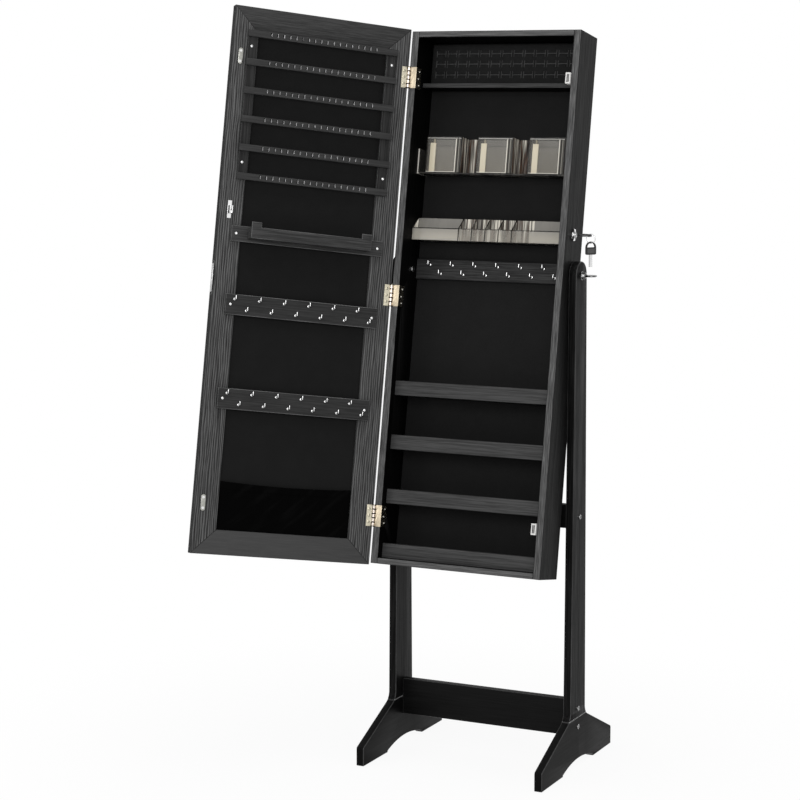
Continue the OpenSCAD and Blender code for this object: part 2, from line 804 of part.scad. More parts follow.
// Magnet catches on the right wall, open at the front round the magnet
module magnet_catches() {
  y0 = -hinge_gap + strike_t + catch_gap;
  color([0.88, 0.87, 0.84]) in_cabinet() for (z = catch_z) difference() {
    block([in_x - catch_w, y0, z - catch_h / 2], [in_x, catch_d, z + catch_h / 2]);
    block([in_x - catch_w + 2, y0 - 1, z - catch_h / 2 + 2.5],
      [in_x - 2, y0 + 1, z + catch_h / 2 - 2.5]);
  }
}

// ---- Lock and keys ----

module lock_barrel() {
  color(bright) in_cabinet() translate([0, lock_y, lock_z]) difference() {
    translate([in_x - lock_nut_t, 0, 0]) rotate([0, 90, 0]) rotate_extrude() polygon([
      [0, 0], [lock_r, 0], [lock_r, side_t + lock_nut_t],
      [lock_collar_r, side_t + lock_nut_t],
      [lock_collar_r, side_t + lock_nut_t + lock_collar_t - 1],
      [lock_collar_r - 1.2, side_t + lock_nut_t + lock_collar_t],
      [0, side_t + lock_nut_t + lock_collar_t]
    ]);
    rod_x([in_x - lock_nut_t - 1, 0, 0], plug_r + run_fit, side_t + lock_nut_t + lock_collar_t + 2);
  }
}
module lock_nut() {
  color(nickel) in_cabinet() translate([in_x - lock_nut_t, lock_y, lock_z]) rotate([0, 90, 0])
    difference() {
      cylinder(r = lock_collar_r, h = lock_nut_t, $fn = 6);
      translate([0, 0, -1]) cylinder(r = lock_r + run_fit, h = lock_nut_t + 2);
    }
}
// The plug has a keyway at its outer end, and a tail and head that hold the cam
module lock_plug() {
  color(nickel) in_cabinet() translate([0, lock_y, lock_z]) difference() {
    union() {
      rod_x([cam_x1 + 0.1, 0, 0], plug_r, plug_x1 - cam_x1 - 0.1);
      rod_x([cam_x0 - 1.6, 0, 0], tail_r, cam_t + 4);
      rod_x([cam_x0 - 1.6, 0, 0], tail_r + 2, 1.5);
    }
    block([key_x - blade_l - 0.5, -blade_w / 2 - 0.2, -blade_t / 2 - 0.2],
      [plug_x1 + 1, blade_w / 2 + 0.2, blade_t / 2 + 0.2]);
  }
}
// The arm stands up when the lock is open; its hook then points to the front
module lock_cam() {
  color(nickel) in_cabinet() translate([0, lock_y, lock_z]) difference() {
    union() {
      rod_x([cam_x0, 0, 0], tail_r + 3.5, cam_t);
      block([cam_x0, -cam_half, 0], [cam_x1, cam_half, cam_reach + 4]);
      block([cam_x0, -cam_hook, cam_reach], [cam_x1, 0, cam_reach + 4]);
    }
    rod_x([cam_x0 - 1, 0, 0], tail_r + run_fit, cam_t + 2);
  }
}

// Key lying in (x, y): the head starts at x = 0 and the blade runs to -x
module key() {
  r = head_w / 2;
  difference() {
    union() {
      translate([0, -r, -head_t / 2]) cube([head_l - r, head_w, head_t]);
      rod_z([head_l - r, 0, -head_t / 2], r, head_t);
      translate([-blade_l, -blade_w / 2, -blade_t / 2])
        cube([blade_l + 1, blade_w, blade_t]);
    }
    rod_z([head_l - head_rim - head_hole_r, 0, -head_t], head_hole_r, 2 * head_t);
    for (i = [0 : 3]) translate([-blade_l + 4 + i * 4, blade_w / 2 - 0.6 - 0.3 * (i % 2), -blade_t])
      cube([2, 2, 2 * blade_t]);
  }
}
module lock_key() {
  color(plastic_black) in_cabinet() translate([key_x, lock_y, lock_z]) key();
}
module key_ring() {
  color(bright) translate([rim_x, lock_w_y, ring_z]) rotate([90, 0, 0])
    rotate_extrude() translate([ring_r, 0]) circle(r = ring_wire, $fn = 16);
}
module spare_key() {
  color(plastic_black) translate([rim_x, lock_w_y, spare_top])
    rotate([0, 0, -spare_turn]) rotate([0, -90, 0]) translate([-head_l, 0, 0]) key();
}

// ---- Door frame ----

// Board outline drawn in (u, z), with its thickness behind the inner face
module door_board(pts) {
  difference() {
    rotate([90, 0, 0]) linear_extrude(door_t) polygon(pts);
    block([frame_w - groove_d, groove_y1, door_z0 + frame_w - groove_d],
      [free_u - frame_w + groove_d, groove_y0, door_z1 - frame_w + groove_d]);
    children();
  }
}

module door_hinge_stile() {
  color(ebony) in_door() door_board([
    [0, door_z0], [frame_w, door_z0 + frame_w], [frame_w, door_z1 - frame_w], [0, door_z1]
  ]) door_screw_holes();
}
module door_free_stile() {
  color(ebony) in_door() door_board([
    [free_u, door_z0], [free_u, door_z1],
    [free_u - frame_w, door_z1 - frame_w], [free_u - frame_w, door_z0 + frame_w]
  ]) {
    door_screw_holes();
    pull_hollow();
    pull_plate();
  }
}
module door_top_rail() {
  color(ebony) in_door() door_board([
    [0, door_z1], [frame_w, door_z1 - frame_w],
    [free_u - frame_w, door_z1 - frame_w], [free_u, door_z1]
  ]);
}
module door_bottom_rail() {
  color(ebony) in_door() door_board([
    [0, door_z0], [free_u, door_z0],
    [free_u - frame_w, door_z0 + frame_w], [frame_w, door_z0 + frame_w]
  ]);
}

module groove_plate(y0, y1) {
  g = groove_d - groove_fit;
  block([frame_w - g, y0, door_z0 + frame_w - g],
    [free_u - frame_w + g, y1, door_z1 - frame_w + g]);
}
module mirror_glass() { groove_plate(groove_y1, groove_y1 + mirror_t); }
module mirror_node() { color([0.75, 0.78, 0.80]) in_door() mirror_glass(); }
module door_panel() {
  color(felt_black) in_door() groove_plate(groove_y1 + mirror_t, groove_y0);
}

// ---- Fittings on the door ----

// Screw with a domed head, its flat on y = 0 and its shank towards -Y
module small_screw(grip) {
  rotate([90, 0, 0]) rotate_extrude() polygon([
    [0, -1.5], [screw_head_r * 0.5, -1.4], [screw_head_r * 0.85, -0.9],
    [screw_head_r, -0.3], [screw_head_r, 0], [screw_r, 0],
    [screw_r, grip + screw_bite], [0, grip + screw_bite]
  ]);
}

// Places of the screws through the rack, the ledge's rail and the two boards
function rack_screws() = [for (u = [rack_u0 + rack_stile_w / 2, rack_u1 - rack_stile_w / 2])
  for (z = [rack_z1 - slat_pitch * 0.56, rack_z0 + slat_pitch * 0.6]) [u, z]];
function board_screws() = [for (u = [board_screw_u, free_u - board_screw_u])
  for (z = [ledge_z + ledge_rail_h / 2, board_a_z + door_board_h / 2, board_b_z + door_board_h / 2])
  [u, z]];
function leaf_screws() = [for (z = hinge_z) for (d = [-leaf_screw_step, 0, leaf_screw_step])
  [door_leaf_w - leaf_screw_edge, z + d]];

module door_screw_holes() {
  for (p = concat(rack_screws(), board_screws(), leaf_screws()))
    rod_y([p[0], -screw_bite - 2, p[1]], screw_r + screw_fit, screw_bite + 4 * door_board_t, $fn = 24);
}
module door_screws() {
  color(bright) in_door() {
    for (p = rack_screws()) translate([p[0], slat_t, p[1]]) small_screw(slat_t, $fn = 24);
    for (p = board_screws()) translate([p[0], door_board_t, p[1]])
      small_screw(door_board_t, $fn = 24);
    for (p = leaf_screws()) translate([p[0], leaf_t, p[1]]) small_screw(leaf_t, $fn = 24);
  }
}

// Notches for the strike plates and the hinges' leaves, which only a wide rack reaches
module fitting_notches() {
  for (z = catch_z) block(
    [strike_u - strike_w / 2 - fitting_gap, -fitting_gap, z - strike_h / 2 - fitting_gap],
    [strike_u + strike_w / 2 + fitting_gap, slat_t + fitting_gap, z + strike_h / 2 + fitting_gap]);
  for (z = hinge_z) block(
    [-fitting_gap, -fitting_gap, z - hinge_h / 2 - fitting_gap],
    [door_leaf_w + fitting_gap, slat_t + fitting_gap, z + hinge_h / 2 + fitting_gap]);
}
module rack_stiles() {
  color(ebony) in_door() for (u = [rack_u0 + slat_over, rack_u1 - slat_over - rack_stile_w])
    difference() {
      block([u, 0, rack_z0], [u + rack_stile_w, slat_t, rack_z1]);
      door_screw_holes();
      fitting_notches();
    }
}
module rack_slats() {
  pitch = (rack_w - 2 * slot_margin) / (slot_count - 1);
  color(ebony) in_door() for (i = [0 : slats - 1]) {
    z1 = rack_z1 - i * slat_pitch;
    difference() {
      block([rack_u0, slat_t, z1 - slat_h], [rack_u1, 2 * slat_t, z1]);
      for (k = [0 : slot_count - 1])
        block([rack_u0 + slot_margin + k * pitch - slot_w / 2, slat_t - 1, z1 - slat_h / 2 - slot_h / 2 + 1],
          [rack_u0 + slot_margin + k * pitch + slot_w / 2, 2 * slat_t + 1, z1 - slat_h / 2 + slot_h / 2 + 1]);
    }
  }
}

module door_strip(z0, h) {
  difference() {
    block([board_u0, 0, z0], [board_u1, door_board_t, z0 + h]);
    door_screw_holes();
  }
}
module ledge_rail() { color(ebony) in_door() door_strip(ledge_z, ledge_rail_h); }
module upper_hook_board() { color(ebony_dark) in_door() door_strip(board_a_z, door_board_h); }
module lower_hook_board() { color(ebony_dark) in_door() door_strip(board_b_z, door_board_h); }

// Floor and end cheeks of the trough, between the rail and the front board
module ledge_trough() {
  y1 = trough_y - trough_t;
  color(ebony) in_door() {
    block([trough_u0, door_board_t, trough_z], [trough_u1, y1, trough_z + trough_t]);
    for (u = [trough_u0, trough_u1 - trough_t])
      block([u, door_board_t, trough_z], [u + trough_t, y1, trough_z + trough_h]);
  }
}
module ledge_front() {
  y0 = trough_y - trough_t;
  color(ebony) in_door() {
    block([trough_u0, y0, trough_z], [trough_u1, trough_y, trough_z + trough_h]);
    for (u = [trough_u0, trough_u1 - tab_w])
      block([u, y0, trough_z], [u + tab_w, trough_y, trough_z + trough_h + tab_h]);
  }
}

module door_hook_row(z0) {
  pitch = (board_w - 2 * door_hook_margin) / (hook_count - 1);
  for (i = [0 : hook_count - 1])
    translate([board_u0 + door_hook_margin + i * pitch, door_board_t,
      z0 + door_board_h / 2 + door_hook_rows * (i % 2 - 0.5)])
      hook($fn = 24);
}
module door_hooks() {
  color(bright) in_door() {
    door_hook_row(board_a_z);
    door_hook_row(board_b_z);
  }
}

// Cloth pocket in the bottom of the door's opening, open at its top
module pouch() {
  u0 = frame_w + soft_gap;
  u1 = free_u - frame_w - soft_gap;
  z0 = door_z0 + frame_w + soft_gap;
  y0 = groove_y0 + soft_gap;
  color(felt_black) in_door() difference() {
    block([u0, y0, z0], [u1, pouch_out, z0 + pouch_h]);
    block([u0 + cloth_t, y0 + cloth_t, z0 + cloth_t], [u1 - cloth_t, pouch_out - cloth_t, z0 + pouch_h + 1]);
  }
}

// ---- Hinges, catches and pull ----

module knuckle_row(first, l) {
  for (z = hinge_z) for (k = [first : 2 : knuckles - 1])
    translate([0, 0, z - hinge_h / 2 + k * knuckle_h]) difference() {
      union() {
        rod_z([0, 0, knuckle_gap / 2], knuckle_r, knuckle_h - knuckle_gap);
        children();
      }
      rod_z([0, 0, -1], pin_r + run_fit, knuckle_h + 2);
    }
}

// Door leaf: drawn about the pin, with the door's inner face at y = -hinge_gap/2
module hinge_door_leaves() {
  y0 = -hinge_gap / 2;
  color(nickel) in_door() translate([0, hinge_gap / 2, 0]) {
    knuckle_row(1) block([0, y0, knuckle_gap / 2], [leaf_root, y0 + leaf_t, knuckle_h - knuckle_gap / 2]);
    difference() {
      for (z = hinge_z) block([leaf_root - eps, y0, z - hinge_h / 2], [door_leaf_w, y0 + leaf_t, z + hinge_h / 2]);
      translate([0, -hinge_gap / 2, 0]) door_screw_holes();
    }
  }
}

function wall_screws() = [for (z = hinge_z) for (p = [[wall_screw_far, wall_screw_step],
  [wall_screw_near, -wall_screw_drop], [wall_screw_far, -wall_screw_step]]) [p[0], z + p[1]]];

module hinge_screw_holes() {
  for (p = wall_screws())
    rod_x([in_x - 3, p[0], p[1]], screw_r + screw_fit, screw_bite + 5, $fn = 24);
}

// Cabinet leaf: over the side's front edge and back along its inner wall
module hinge_cabinet_leaves() {
  color(nickel) in_cabinet() {
    translate([-out_x, -hinge_gap / 2, 0])
      knuckle_row(0) block([0, hinge_gap / 2 - leaf_t, knuckle_gap / 2],
        [leaf_root, hinge_gap / 2, knuckle_h - knuckle_gap / 2]);
    mirror([1, 0, 0]) difference() {
      for (z = hinge_z) {
        block([in_x - leaf_t, -leaf_t, z - hinge_h / 2], [out_x - leaf_root + eps, 0, z + hinge_h / 2]);
        block([in_x - leaf_t, -leaf_t, z - hinge_h / 2], [in_x, wall_leaf_w, z + hinge_h / 2]);
      }
      hinge_screw_holes();
    }
  }
}
module hinge_pins() {
  color(nickel) in_cabinet() for (z = hinge_z)
    translate([-out_x, -hinge_gap / 2, z - hinge_h / 2]) rotate_extrude() polygon([
      [0, -1], [pin_r + 0.8, -1], [pin_r + 0.8, 0], [pin_r, 0],
      [pin_r, hinge_h], [pin_r + 0.8, hinge_h], [pin_r + 0.8, hinge_h + 1], [0, hinge_h + 1]
    ]);
}
module cabinet_screws() {
  color(bright) in_cabinet() for (p = wall_screws())
    translate([-in_x + leaf_t, p[0], p[1]]) rotate([0, 0, -90]) small_screw(leaf_t, $fn = 24);
}

module strike_plates() {
  r = strike_w / 2;
  h = strike_h / 2 - r;
  color(bright) in_door() for (z = catch_z) {
    block([strike_u - r, 0, z - h], [strike_u + r, strike_t, z + h]);
    for (s = [-h, h]) rod_y([strike_u, 0, z + s], r, strike_t);
  }
}

// Strike for the cam: two cheeks on a plate, with a bar that the hook drops behind
module lock_strike() {
  u = cam_mid + out_x;
  y0 = strike_t;
  a = cam_t / 2 + cheek_gap;
  by = lock_y - cam_reach + hinge_gap + 0.8;
  z0 = lock_z - cam_hook - 0.5;
  color(bright) in_door() {
    block([u - lock_plate_w / 2, 0, lock_z - lock_plate_down],
      [u + lock_plate_w / 2, y0, lock_z + lock_plate_up]);
    for (s = [-1, 1]) block([min(s * a, s * (a + cheek_t)) + u, y0, z0],
      [max(s * a, s * (a + cheek_t)) + u, by + keeper_deep, lock_z + cam_half + 2]);
    block([u - a, by, z0], [u + a, by + keeper_bar_t, lock_z - cam_half - 0.7]);
  }
}

// Round finger hollow in the free edge, open to the inner face
module pull_hollow() {
  rod_y([free_u - pull_d + pull_r, -door_t + pull_lip_t, pull_z], pull_r, door_t, $fn = 180);
}
// Plate let into the lip in front of the hollow, for the fingertips to pull on
module pull_plate() {
  block([free_u - pull_t, -door_t + pull_edge, pull_z - pull_plate_h / 2],
    [free_u, -door_t + pull_edge + pull_plate_w, pull_z + pull_plate_h / 2]);
}
module edge_pull() { color(bright) in_door() pull_plate(); }

placed() left_post();
placed() right_post();
placed() left_foot();
placed() right_foot();
placed() lower_crossbar();
placed() upper_crossbar();
placed() stand_screws();
placed() pivot_bolts();
placed() pivot_spacers();
placed() left_tilt_knob();
placed() right_tilt_knob();
placed() cabinet_left_side();
placed() cabinet_right_side();
placed() cabinet_top();
placed() cabinet_bottom();
placed() cabinet_back();
placed() back_lining();
placed() ring_shelf();
placed() ring_pad();
placed() bin_floors();
placed() bin_lips();
placed() cabinet_hook_board();
placed() cabinet_hooks();
placed() clear_tray();
placed() tray_cleat();
placed() clear_rack();
placed() clear_box_left();
placed() clear_box_middle();
placed() clear_box_right();
placed() magnet_catches();
placed() lock_barrel();
placed() lock_nut();
placed() lock_plug();
placed() lock_cam();
placed() lock_key();
placed() key_ring();
placed() spare_key();
placed() door_hinge_stile();
placed() door_free_stile();
placed() door_top_rail();
placed() door_bottom_rail();
placed() mirror_node();  // mirror
placed() door_panel();
placed() rack_stiles();
placed() rack_slats();
placed() ledge_rail();
placed() ledge_trough();
placed() ledge_front();
placed() upper_hook_board();
placed() lower_hook_board();
placed() door_hooks();
placed() door_screws();
placed() pouch();
placed() strike_plates();
placed() lock_strike();
placed() edge_pull();
placed() hinge_door_leaves();
placed() hinge_cabinet_leaves();
placed() hinge_pins();
placed() cabinet_screws();
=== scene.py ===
"""Looks of the standing jewelry armoire: stained wood, felt, clear bins, polished fittings."""
import json
import math

import bmesh
import bpy
from mathutils import Matrix, Vector


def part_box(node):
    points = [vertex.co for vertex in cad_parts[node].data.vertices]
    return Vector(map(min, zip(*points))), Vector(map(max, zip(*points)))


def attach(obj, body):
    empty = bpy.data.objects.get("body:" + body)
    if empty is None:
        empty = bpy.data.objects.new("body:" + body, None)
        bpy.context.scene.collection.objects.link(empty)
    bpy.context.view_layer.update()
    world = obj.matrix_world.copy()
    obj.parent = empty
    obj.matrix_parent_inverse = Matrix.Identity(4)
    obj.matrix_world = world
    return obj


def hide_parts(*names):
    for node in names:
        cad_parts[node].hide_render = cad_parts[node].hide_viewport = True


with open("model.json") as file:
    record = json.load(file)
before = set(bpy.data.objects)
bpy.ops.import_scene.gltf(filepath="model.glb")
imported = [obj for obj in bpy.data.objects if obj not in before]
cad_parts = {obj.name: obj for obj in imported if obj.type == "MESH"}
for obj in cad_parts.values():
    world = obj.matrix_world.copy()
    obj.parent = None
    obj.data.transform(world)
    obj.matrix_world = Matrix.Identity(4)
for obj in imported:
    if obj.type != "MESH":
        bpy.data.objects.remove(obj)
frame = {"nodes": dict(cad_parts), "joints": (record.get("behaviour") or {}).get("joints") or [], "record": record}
nodes = frame["nodes"]
joints = {j["name"]: j for j in frame["joints"]}
BODIES = frame["record"]["behaviour"]["bodies"]
body_of_node = {node: body for body, members in BODIES.items() for node in members}
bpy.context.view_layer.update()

# ---- The three frames that the boards are built in, in metres ----
# stand: x across from the middle, y back from the pivot, z up from the floor
# cabinet: x across from the middle, y back from the front edges, z up from its underside
# door: x from the hinged edge, y out of the inner face, z as in the cabinet

PIVOT = Vector(joints["cabinet_tilt"]["pos_m"])
LEAN = math.atan2(-joints["door_swing"]["axis"][1], -joints["door_swing"]["axis"][2])
OPEN = math.radians(-joints["door_swing"]["range_deg"][0])
PIVOT_Y, PIVOT_Z = 0.053, 0.600
CAB_W, CAB_H, WALL_T, LINING_Y = 0.368, 1.080, 0.015, 0.082
IN_X = CAB_W / 2 - WALL_T
DOOR_W, FRAME_W = 0.370, 0.049
HINGE_GAP = 0.006
MM = 0.001

stand_place = Matrix.Translation((PIVOT.x, PIVOT.y, 0))
cabinet_place = (
    Matrix.Translation(PIVOT)
    @ Matrix.Rotation(-LEAN, 4, "X")
    @ Matrix.Translation((0, -PIVOT_Y, -PIVOT_Z))
)
door_place = (
    cabinet_place
    @ Matrix.Translation((-CAB_W / 2, -HINGE_GAP / 2, 0))
    @ Matrix.Rotation(-OPEN, 4, "Z")
    @ Matrix.Translation((0, -HINGE_GAP / 2, 0))
)
PLACE = {"stand": stand_place, "cabinet": cabinet_place, "door": door_place}


# ---- Workbench helpers ----


def tone(level, warm=0.0):
    """Linear colour of an 8-bit grey, a little warm or cool."""
    c = level / 255
    v = c / 12.92 if c <= 0.04045 else ((c + 0.055) / 1.055) ** 2.4
    return (v * (1 + warm), v, v * (1 - 2.2 * warm), 1)


def only(*obs):
    """Selects just these objects, the last one active."""
    bpy.ops.object.select_all(action="DESELECT")
    for ob in obs:
        ob.select_set(True)
        bpy.context.view_layer.objects.active = ob


def pick(ob, verts=None, edges=None, faces=None):
    """Goes into edit mode with only the verts, edges or faces that the test likes."""
    only(ob)
    bpy.ops.object.mode_set(mode="EDIT")
    bpy.ops.mesh.select_mode(type="VERT" if verts else "EDGE" if edges else "FACE")
    bpy.ops.mesh.select_all(action="DESELECT")
    bm = bmesh.from_edit_mesh(ob.data)
    bm.normal_update()
    for found, test in ((bm.verts, verts), (bm.edges, edges), (bm.faces, faces)):
        if test:
            for part in found:
                if test(part):
                    part.select = True
    bm.select_flush_mode()
    bmesh.update_edit_mesh(ob.data)


def done():
    bpy.ops.object.mode_set(mode="OBJECT")


def bake_modifiers(ob):
    only(ob)
    for modifier in list(ob.modifiers):
        bpy.ops.object.modifier_apply(modifier=modifier.name)


def settle(ob, place):
    """Moves a piece modelled at the bench to its place and leaves its object at the origin."""
    only(ob)
    ob.matrix_world = place @ ob.matrix_world
    bpy.ops.object.transform_apply()
    return ob


def smooth(ob, degrees):
    only(ob)
    bpy.ops.object.shade_smooth_by_angle(angle=math.radians(degrees))


def block(name, lo, hi):
    """A block between two corners, to be worked further."""
    lo, hi = Vector(lo), Vector(hi)
    only()
    bpy.ops.mesh.primitive_cube_add(size=1, location=(lo + hi) / 2)
    ob = bpy.context.object
    ob.name = name
    ob.scale = hi - lo
    bpy.ops.object.transform_apply()
    return ob


def outline_plate(name, points, thickness):
    """A flat plate on an outline in (x, y), centred on z = 0."""
    only()
    bpy.ops.mesh.primitive_circle_add(vertices=len(points), radius=0.01, fill_type="NGON")
    ob = bpy.context.object
    ob.name = name
    for vertex, (x, y) in zip(ob.data.vertices, points):
        vertex.co = (x, y, -thickness / 2)
    pick(ob, faces=lambda f: True)
    bpy.ops.mesh.extrude_region_move(TRANSFORM_OT_translate={"value": (0, 0, thickness)})
    bpy.ops.mesh.select_all(action="SELECT")
    bpy.ops.mesh.normals_make_consistent()
    done()
    return ob


def sharper(edge, degrees):
    return len(edge.link_faces) == 2 and edge.calc_face_angle(0) > math.radians(degrees)


def ease(ob, width, segments=2, likes=lambda e: True):
    """Rounds the edges that the test likes."""
    pick(ob, edges=likes)
    bpy.ops.mesh.bevel(offset=width, segments=segments, affect="EDGES")
    done()


def cut_away(ob, tool):
    modifier = ob.modifiers.new("cut", "BOOLEAN")
    modifier.object = tool
    modifier.solver = "EXACT"
    bake_modifiers(ob)
    bpy.data.objects.remove(tool)


def clusters(parts, near):
    """Groups of parts that hang together, in the mesh's own order."""
    left, groups = set(parts), []
    for start in parts:
        if start in left:
            left.remove(start)
            group = [start]
            for part in group:
                for other in near(part):
                    if other in left:
                        left.remove(other)
                        group.append(other)
            groups.append(group)
    return groups


def corners(points):
    """Lowest and highest corner of the box around some points."""
    return [Vector([end(p[i] for p in points) for i in range(3)]) for end in (min, max)]


def bare_copy(node, name):
    """A CAD node's mesh as a free object, with its flat triangles joined up."""
    ob = nodes[node].copy()
    ob.data = ob.data.copy()
    ob.name = name
    bpy.context.scene.collection.objects.link(ob)
    ob.hide_render = ob.hide_viewport = False
    for key in list(ob.keys()):
        del ob[key]
    ob.parent = None
    pick(ob, verts=lambda v: True)
    bpy.ops.mesh.remove_doubles(threshold=1e-6)
    bpy.ops.mesh.dissolve_limited(angle_limit=math.radians(0.5))
    done()
    return ob


def joined(name, obs):
    only(*obs)
    bpy.ops.object.join()
    ob = bpy.context.object
    ob.name = name
    return ob


def painted(ob, *materials):
    ob.data.materials.clear()
    for material in materials:
        ob.data.materials.append(material)


def hand_over(ob, body, stands_for=()):
    """Gives a finished piece its body and hides the CAD nodes it stands for."""
    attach(ob, body)
    if stands_for:
        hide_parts(*stands_for)
    return ob


# ---- Shader helpers ----


def blank(name, **sockets):
    material = bpy.data.materials.new(name)
    material.use_nodes = True
    tree = material.node_tree
    shader = tree.nodes["Principled BSDF"]
    for key, value in sockets.items():
        shader.inputs[key.replace("_", " ")].default_value = value
    return material, tree, shader


def add(tree, kind, inputs=(), **settings):
    """Adds a node; inputs are values or the outputs to link."""
    node = tree.nodes.new(kind)
    for key, value in settings.items():
        setattr(node, key, value)
    for slot, value in dict(inputs).items():
        if isinstance(value, bpy.types.NodeSocket):
            tree.links.new(value, node.inputs[slot])
        else:
            node.inputs[slot].default_value = value
    return node


def wire(tree, shader, **outputs):
    """Links outputs to the shader's inputs of these names."""
    for key, output in outputs.items():
        tree.links.new(output, shader.inputs[key.replace("_", " ")])


def placed_point(tree, place):
    """Object coordinates turned into the frame that the boards are built in."""
    back = PLACE[place].inverted()
    coord = add(tree, "ShaderNodeTexCoord").outputs["Object"]
    inputs = {"Vector": coord, "Location": back.translation, "Rotation": back.to_euler("XYZ")}
    return add(tree, "ShaderNodeMapping", inputs).outputs[0]


def scaled(tree, point, scale):
    return add(tree, "ShaderNodeMapping", {"Vector": point, "Scale": scale}).outputs[0]


def noise(tree, point, scale, detail=2.0, rough=0.5):
    inputs = {"Vector": point, "Scale": scale, "Detail": detail, "Roughness": rough}
    return add(tree, "ShaderNodeTexNoise", inputs).outputs[0]


def ramp(tree, value, *stops):
    """A colour ramp from (position, colour) stops."""
    node = add(tree, "ShaderNodeValToRGB", {"Fac": value})
    elements = node.color_ramp.elements
    while len(elements) < len(stops):
        elements.new(0.5)
    for element, (position, colour) in zip(elements, stops):
        element.position = position
        element.color = colour
    return node.outputs[0]


def span(tree, value, lo, hi, to_lo=0.0, to_hi=1.0):
    return add(
        tree,
        "ShaderNodeMapRange",
        {0: value, 1: lo, 2: hi, 3: to_lo, 4: to_hi},
        interpolation_type="SMOOTHSTEP",
    ).outputs[0]


def mixed(tree, factor, a, b, blend="MIX"):
    inputs = {0: factor, 6: a, 7: b}
    return add(tree, "ShaderNodeMix", inputs, data_type="RGBA", blend_type=blend).outputs[2]


def reckon(tree, operation, a, b=0.0):
    return add(tree, "ShaderNodeMath", {0: a, 1: b}, operation=operation).outputs[0]


def plus(tree, a, b):
    return reckon(tree, "ADD", a, b)


def times(tree, a, b):
    return reckon(tree, "MULTIPLY", a, b)


def within(tree, value, lo, hi):
    """One between lo and hi, else nothing."""
    above = reckon(tree, "GREATER_THAN", value, lo)
    return times(tree, above, reckon(tree, "LESS_THAN", value, hi))


def part_of(tree, vector, axis):
    return add(tree, "ShaderNodeSeparateXYZ", {0: vector}).outputs["XYZ".index(axis)]


def bump(tree, shader, height, distance, strength):
    inputs = {"Height": height, "Distance": distance, "Strength": strength}
    wire(tree, shader, Normal=add(tree, "ShaderNodeBump", inputs).outputs[0])


# ---- Finishes ----


def grain_field(tree, point, along, pitch, ribs=0.0):
    """Height of open-pored veneer: ribbed, wavy streaks that run along the board and break off."""
    across = [1.0, 1.0, 1.0]
    across["XYZ".index(along)] = 0.022
    slow = [1.0, 1.0, 1.0]
    slow["XYZ".index(along)] = 0.16
    sway = noise(tree, scaled(tree, point, slow), 55)
    streak = noise(tree, scaled(tree, point, across), 1 / pitch, 2, 0.6)
    fine = noise(tree, scaled(tree, point, across), 2.7 / pitch, 2, 0.6)
    depth = plus(tree, times(tree, streak, 0.6), times(tree, fine, 0.4))
    if not ribs:
        return depth
    cross = add(
        tree,
        "ShaderNodeVectorMath",
        {0: point, 1: [0.0 if axis == along else 1.0 for axis in "XYZ"]},
        operation="DOT_PRODUCT",
    ).outputs["Value"]
    turns = times(tree, cross, 2 * math.pi / ribs)
    wave = reckon(tree, "SINE", plus(tree, turns, times(tree, sway, 13.0)))
    broken = plus(tree, times(tree, depth, 0.62), 0.19)
    return plus(tree, broken, times(tree, wave, 0.065))


def stained_wood(
    name,
    place,
    along,
    dark,
    light,
    pitch=0.0024,
    ribs=0.0,
    relief=0.0003,
    rough=0.5,
    shine=0.06,
    zones=(),
    wear=0.08,
):
    """Black stained veneer. Zones are (axis, from, to, level, share of the grain kept)."""
    material, tree, shader = blank(name, Specular_IOR_Level=shine)
    point = placed_point(tree, place)
    depth = grain_field(tree, point, along, pitch, ribs)
    middle = tone((dark + light) / 2)
    colour = ramp(tree, depth, (0.41, tone(dark)), (0.5, middle), (0.59, tone(light)))
    for axis, lo, hi, level, kept in zones:
        inside = within(tree, part_of(tree, point, axis), lo, hi)
        grained = ramp(tree, depth, (0.38, tone(level * 0.6)), (0.62, tone(level * 1.4)))
        colour = mixed(tree, inside, colour, mixed(tree, kept, tone(level), grained))
    dullness = span(tree, depth, 0.38, 0.62, rough + wear, rough - wear)
    wire(tree, shader, Base_Color=colour, Roughness=dullness)
    bump(tree, shader, depth, relief, 0.7)
    return material


# Greys of the inner and outer faces, how deep a face's grey reaches, and a length past any face
INSIDE, OUTSIDE, SKIN, PAST = 0x05, 0x13, 0.0006, 0.02
CAB_X = CAB_W / 2
side_zones = (
    ("X", -IN_X - SKIN, IN_X + SKIN, INSIDE, 0.3),
    ("X", CAB_X - SKIN, CAB_X + PAST, OUTSIDE, 0.6),
    ("X", -CAB_X - PAST, SKIN - CAB_X, OUTSIDE, 0.6),
)
deck_zones = (
    ("Y", 0.0012, 0.0875, INSIDE, 0.3),
    ("Z", CAB_H - 0.0005, CAB_H + PAST, OUTSIDE, 0.6),
)
free_edge = (("X", DOOR_W - SKIN, DOOR_W + PAST, 0x08, 0.3),)
stile_wood = stained_wood(
    "door_stile_wood", "door", "Z", 0x26, 0x64, 0.0017, ribs=0.0045, zones=free_edge
)
top_rail_wood = stained_wood("door_top_rail_wood", "door", "X", 0x30, 0x46, 0.0016)
bottom_rail_wood = stained_wood(
    "door_bottom_rail_wood", "door", "X", 0x40, 0x47, 0.0016, relief=0.0001
)
rack_wood = stained_wood("rack_slat_wood", "door", "X", 0x31, 0x3D, relief=0.00015)
rack_stile_wood = stained_wood("rack_stile_wood", "door", "Z", 0x22, 0x36)
ledge_wood = stained_wood("ledge_wood", "door", "X", 0x30, 0x46)
hook_board_wood = stained_wood("door_hook_board_wood", "door", "X", 0x2B, 0x39, relief=0.00015)
cabinet_board_wood = stained_wood("cabinet_hook_board_wood", "cabinet", "X", 0x26, 0x3E, 0.0016)
shelf_top = (("Y", 0.0372, 0.1, 0x0C, 0.3),)
shelf_wood = stained_wood("ring_shelf_wood", "cabinet", "X", 0x30, 0x42, zones=shelf_top)
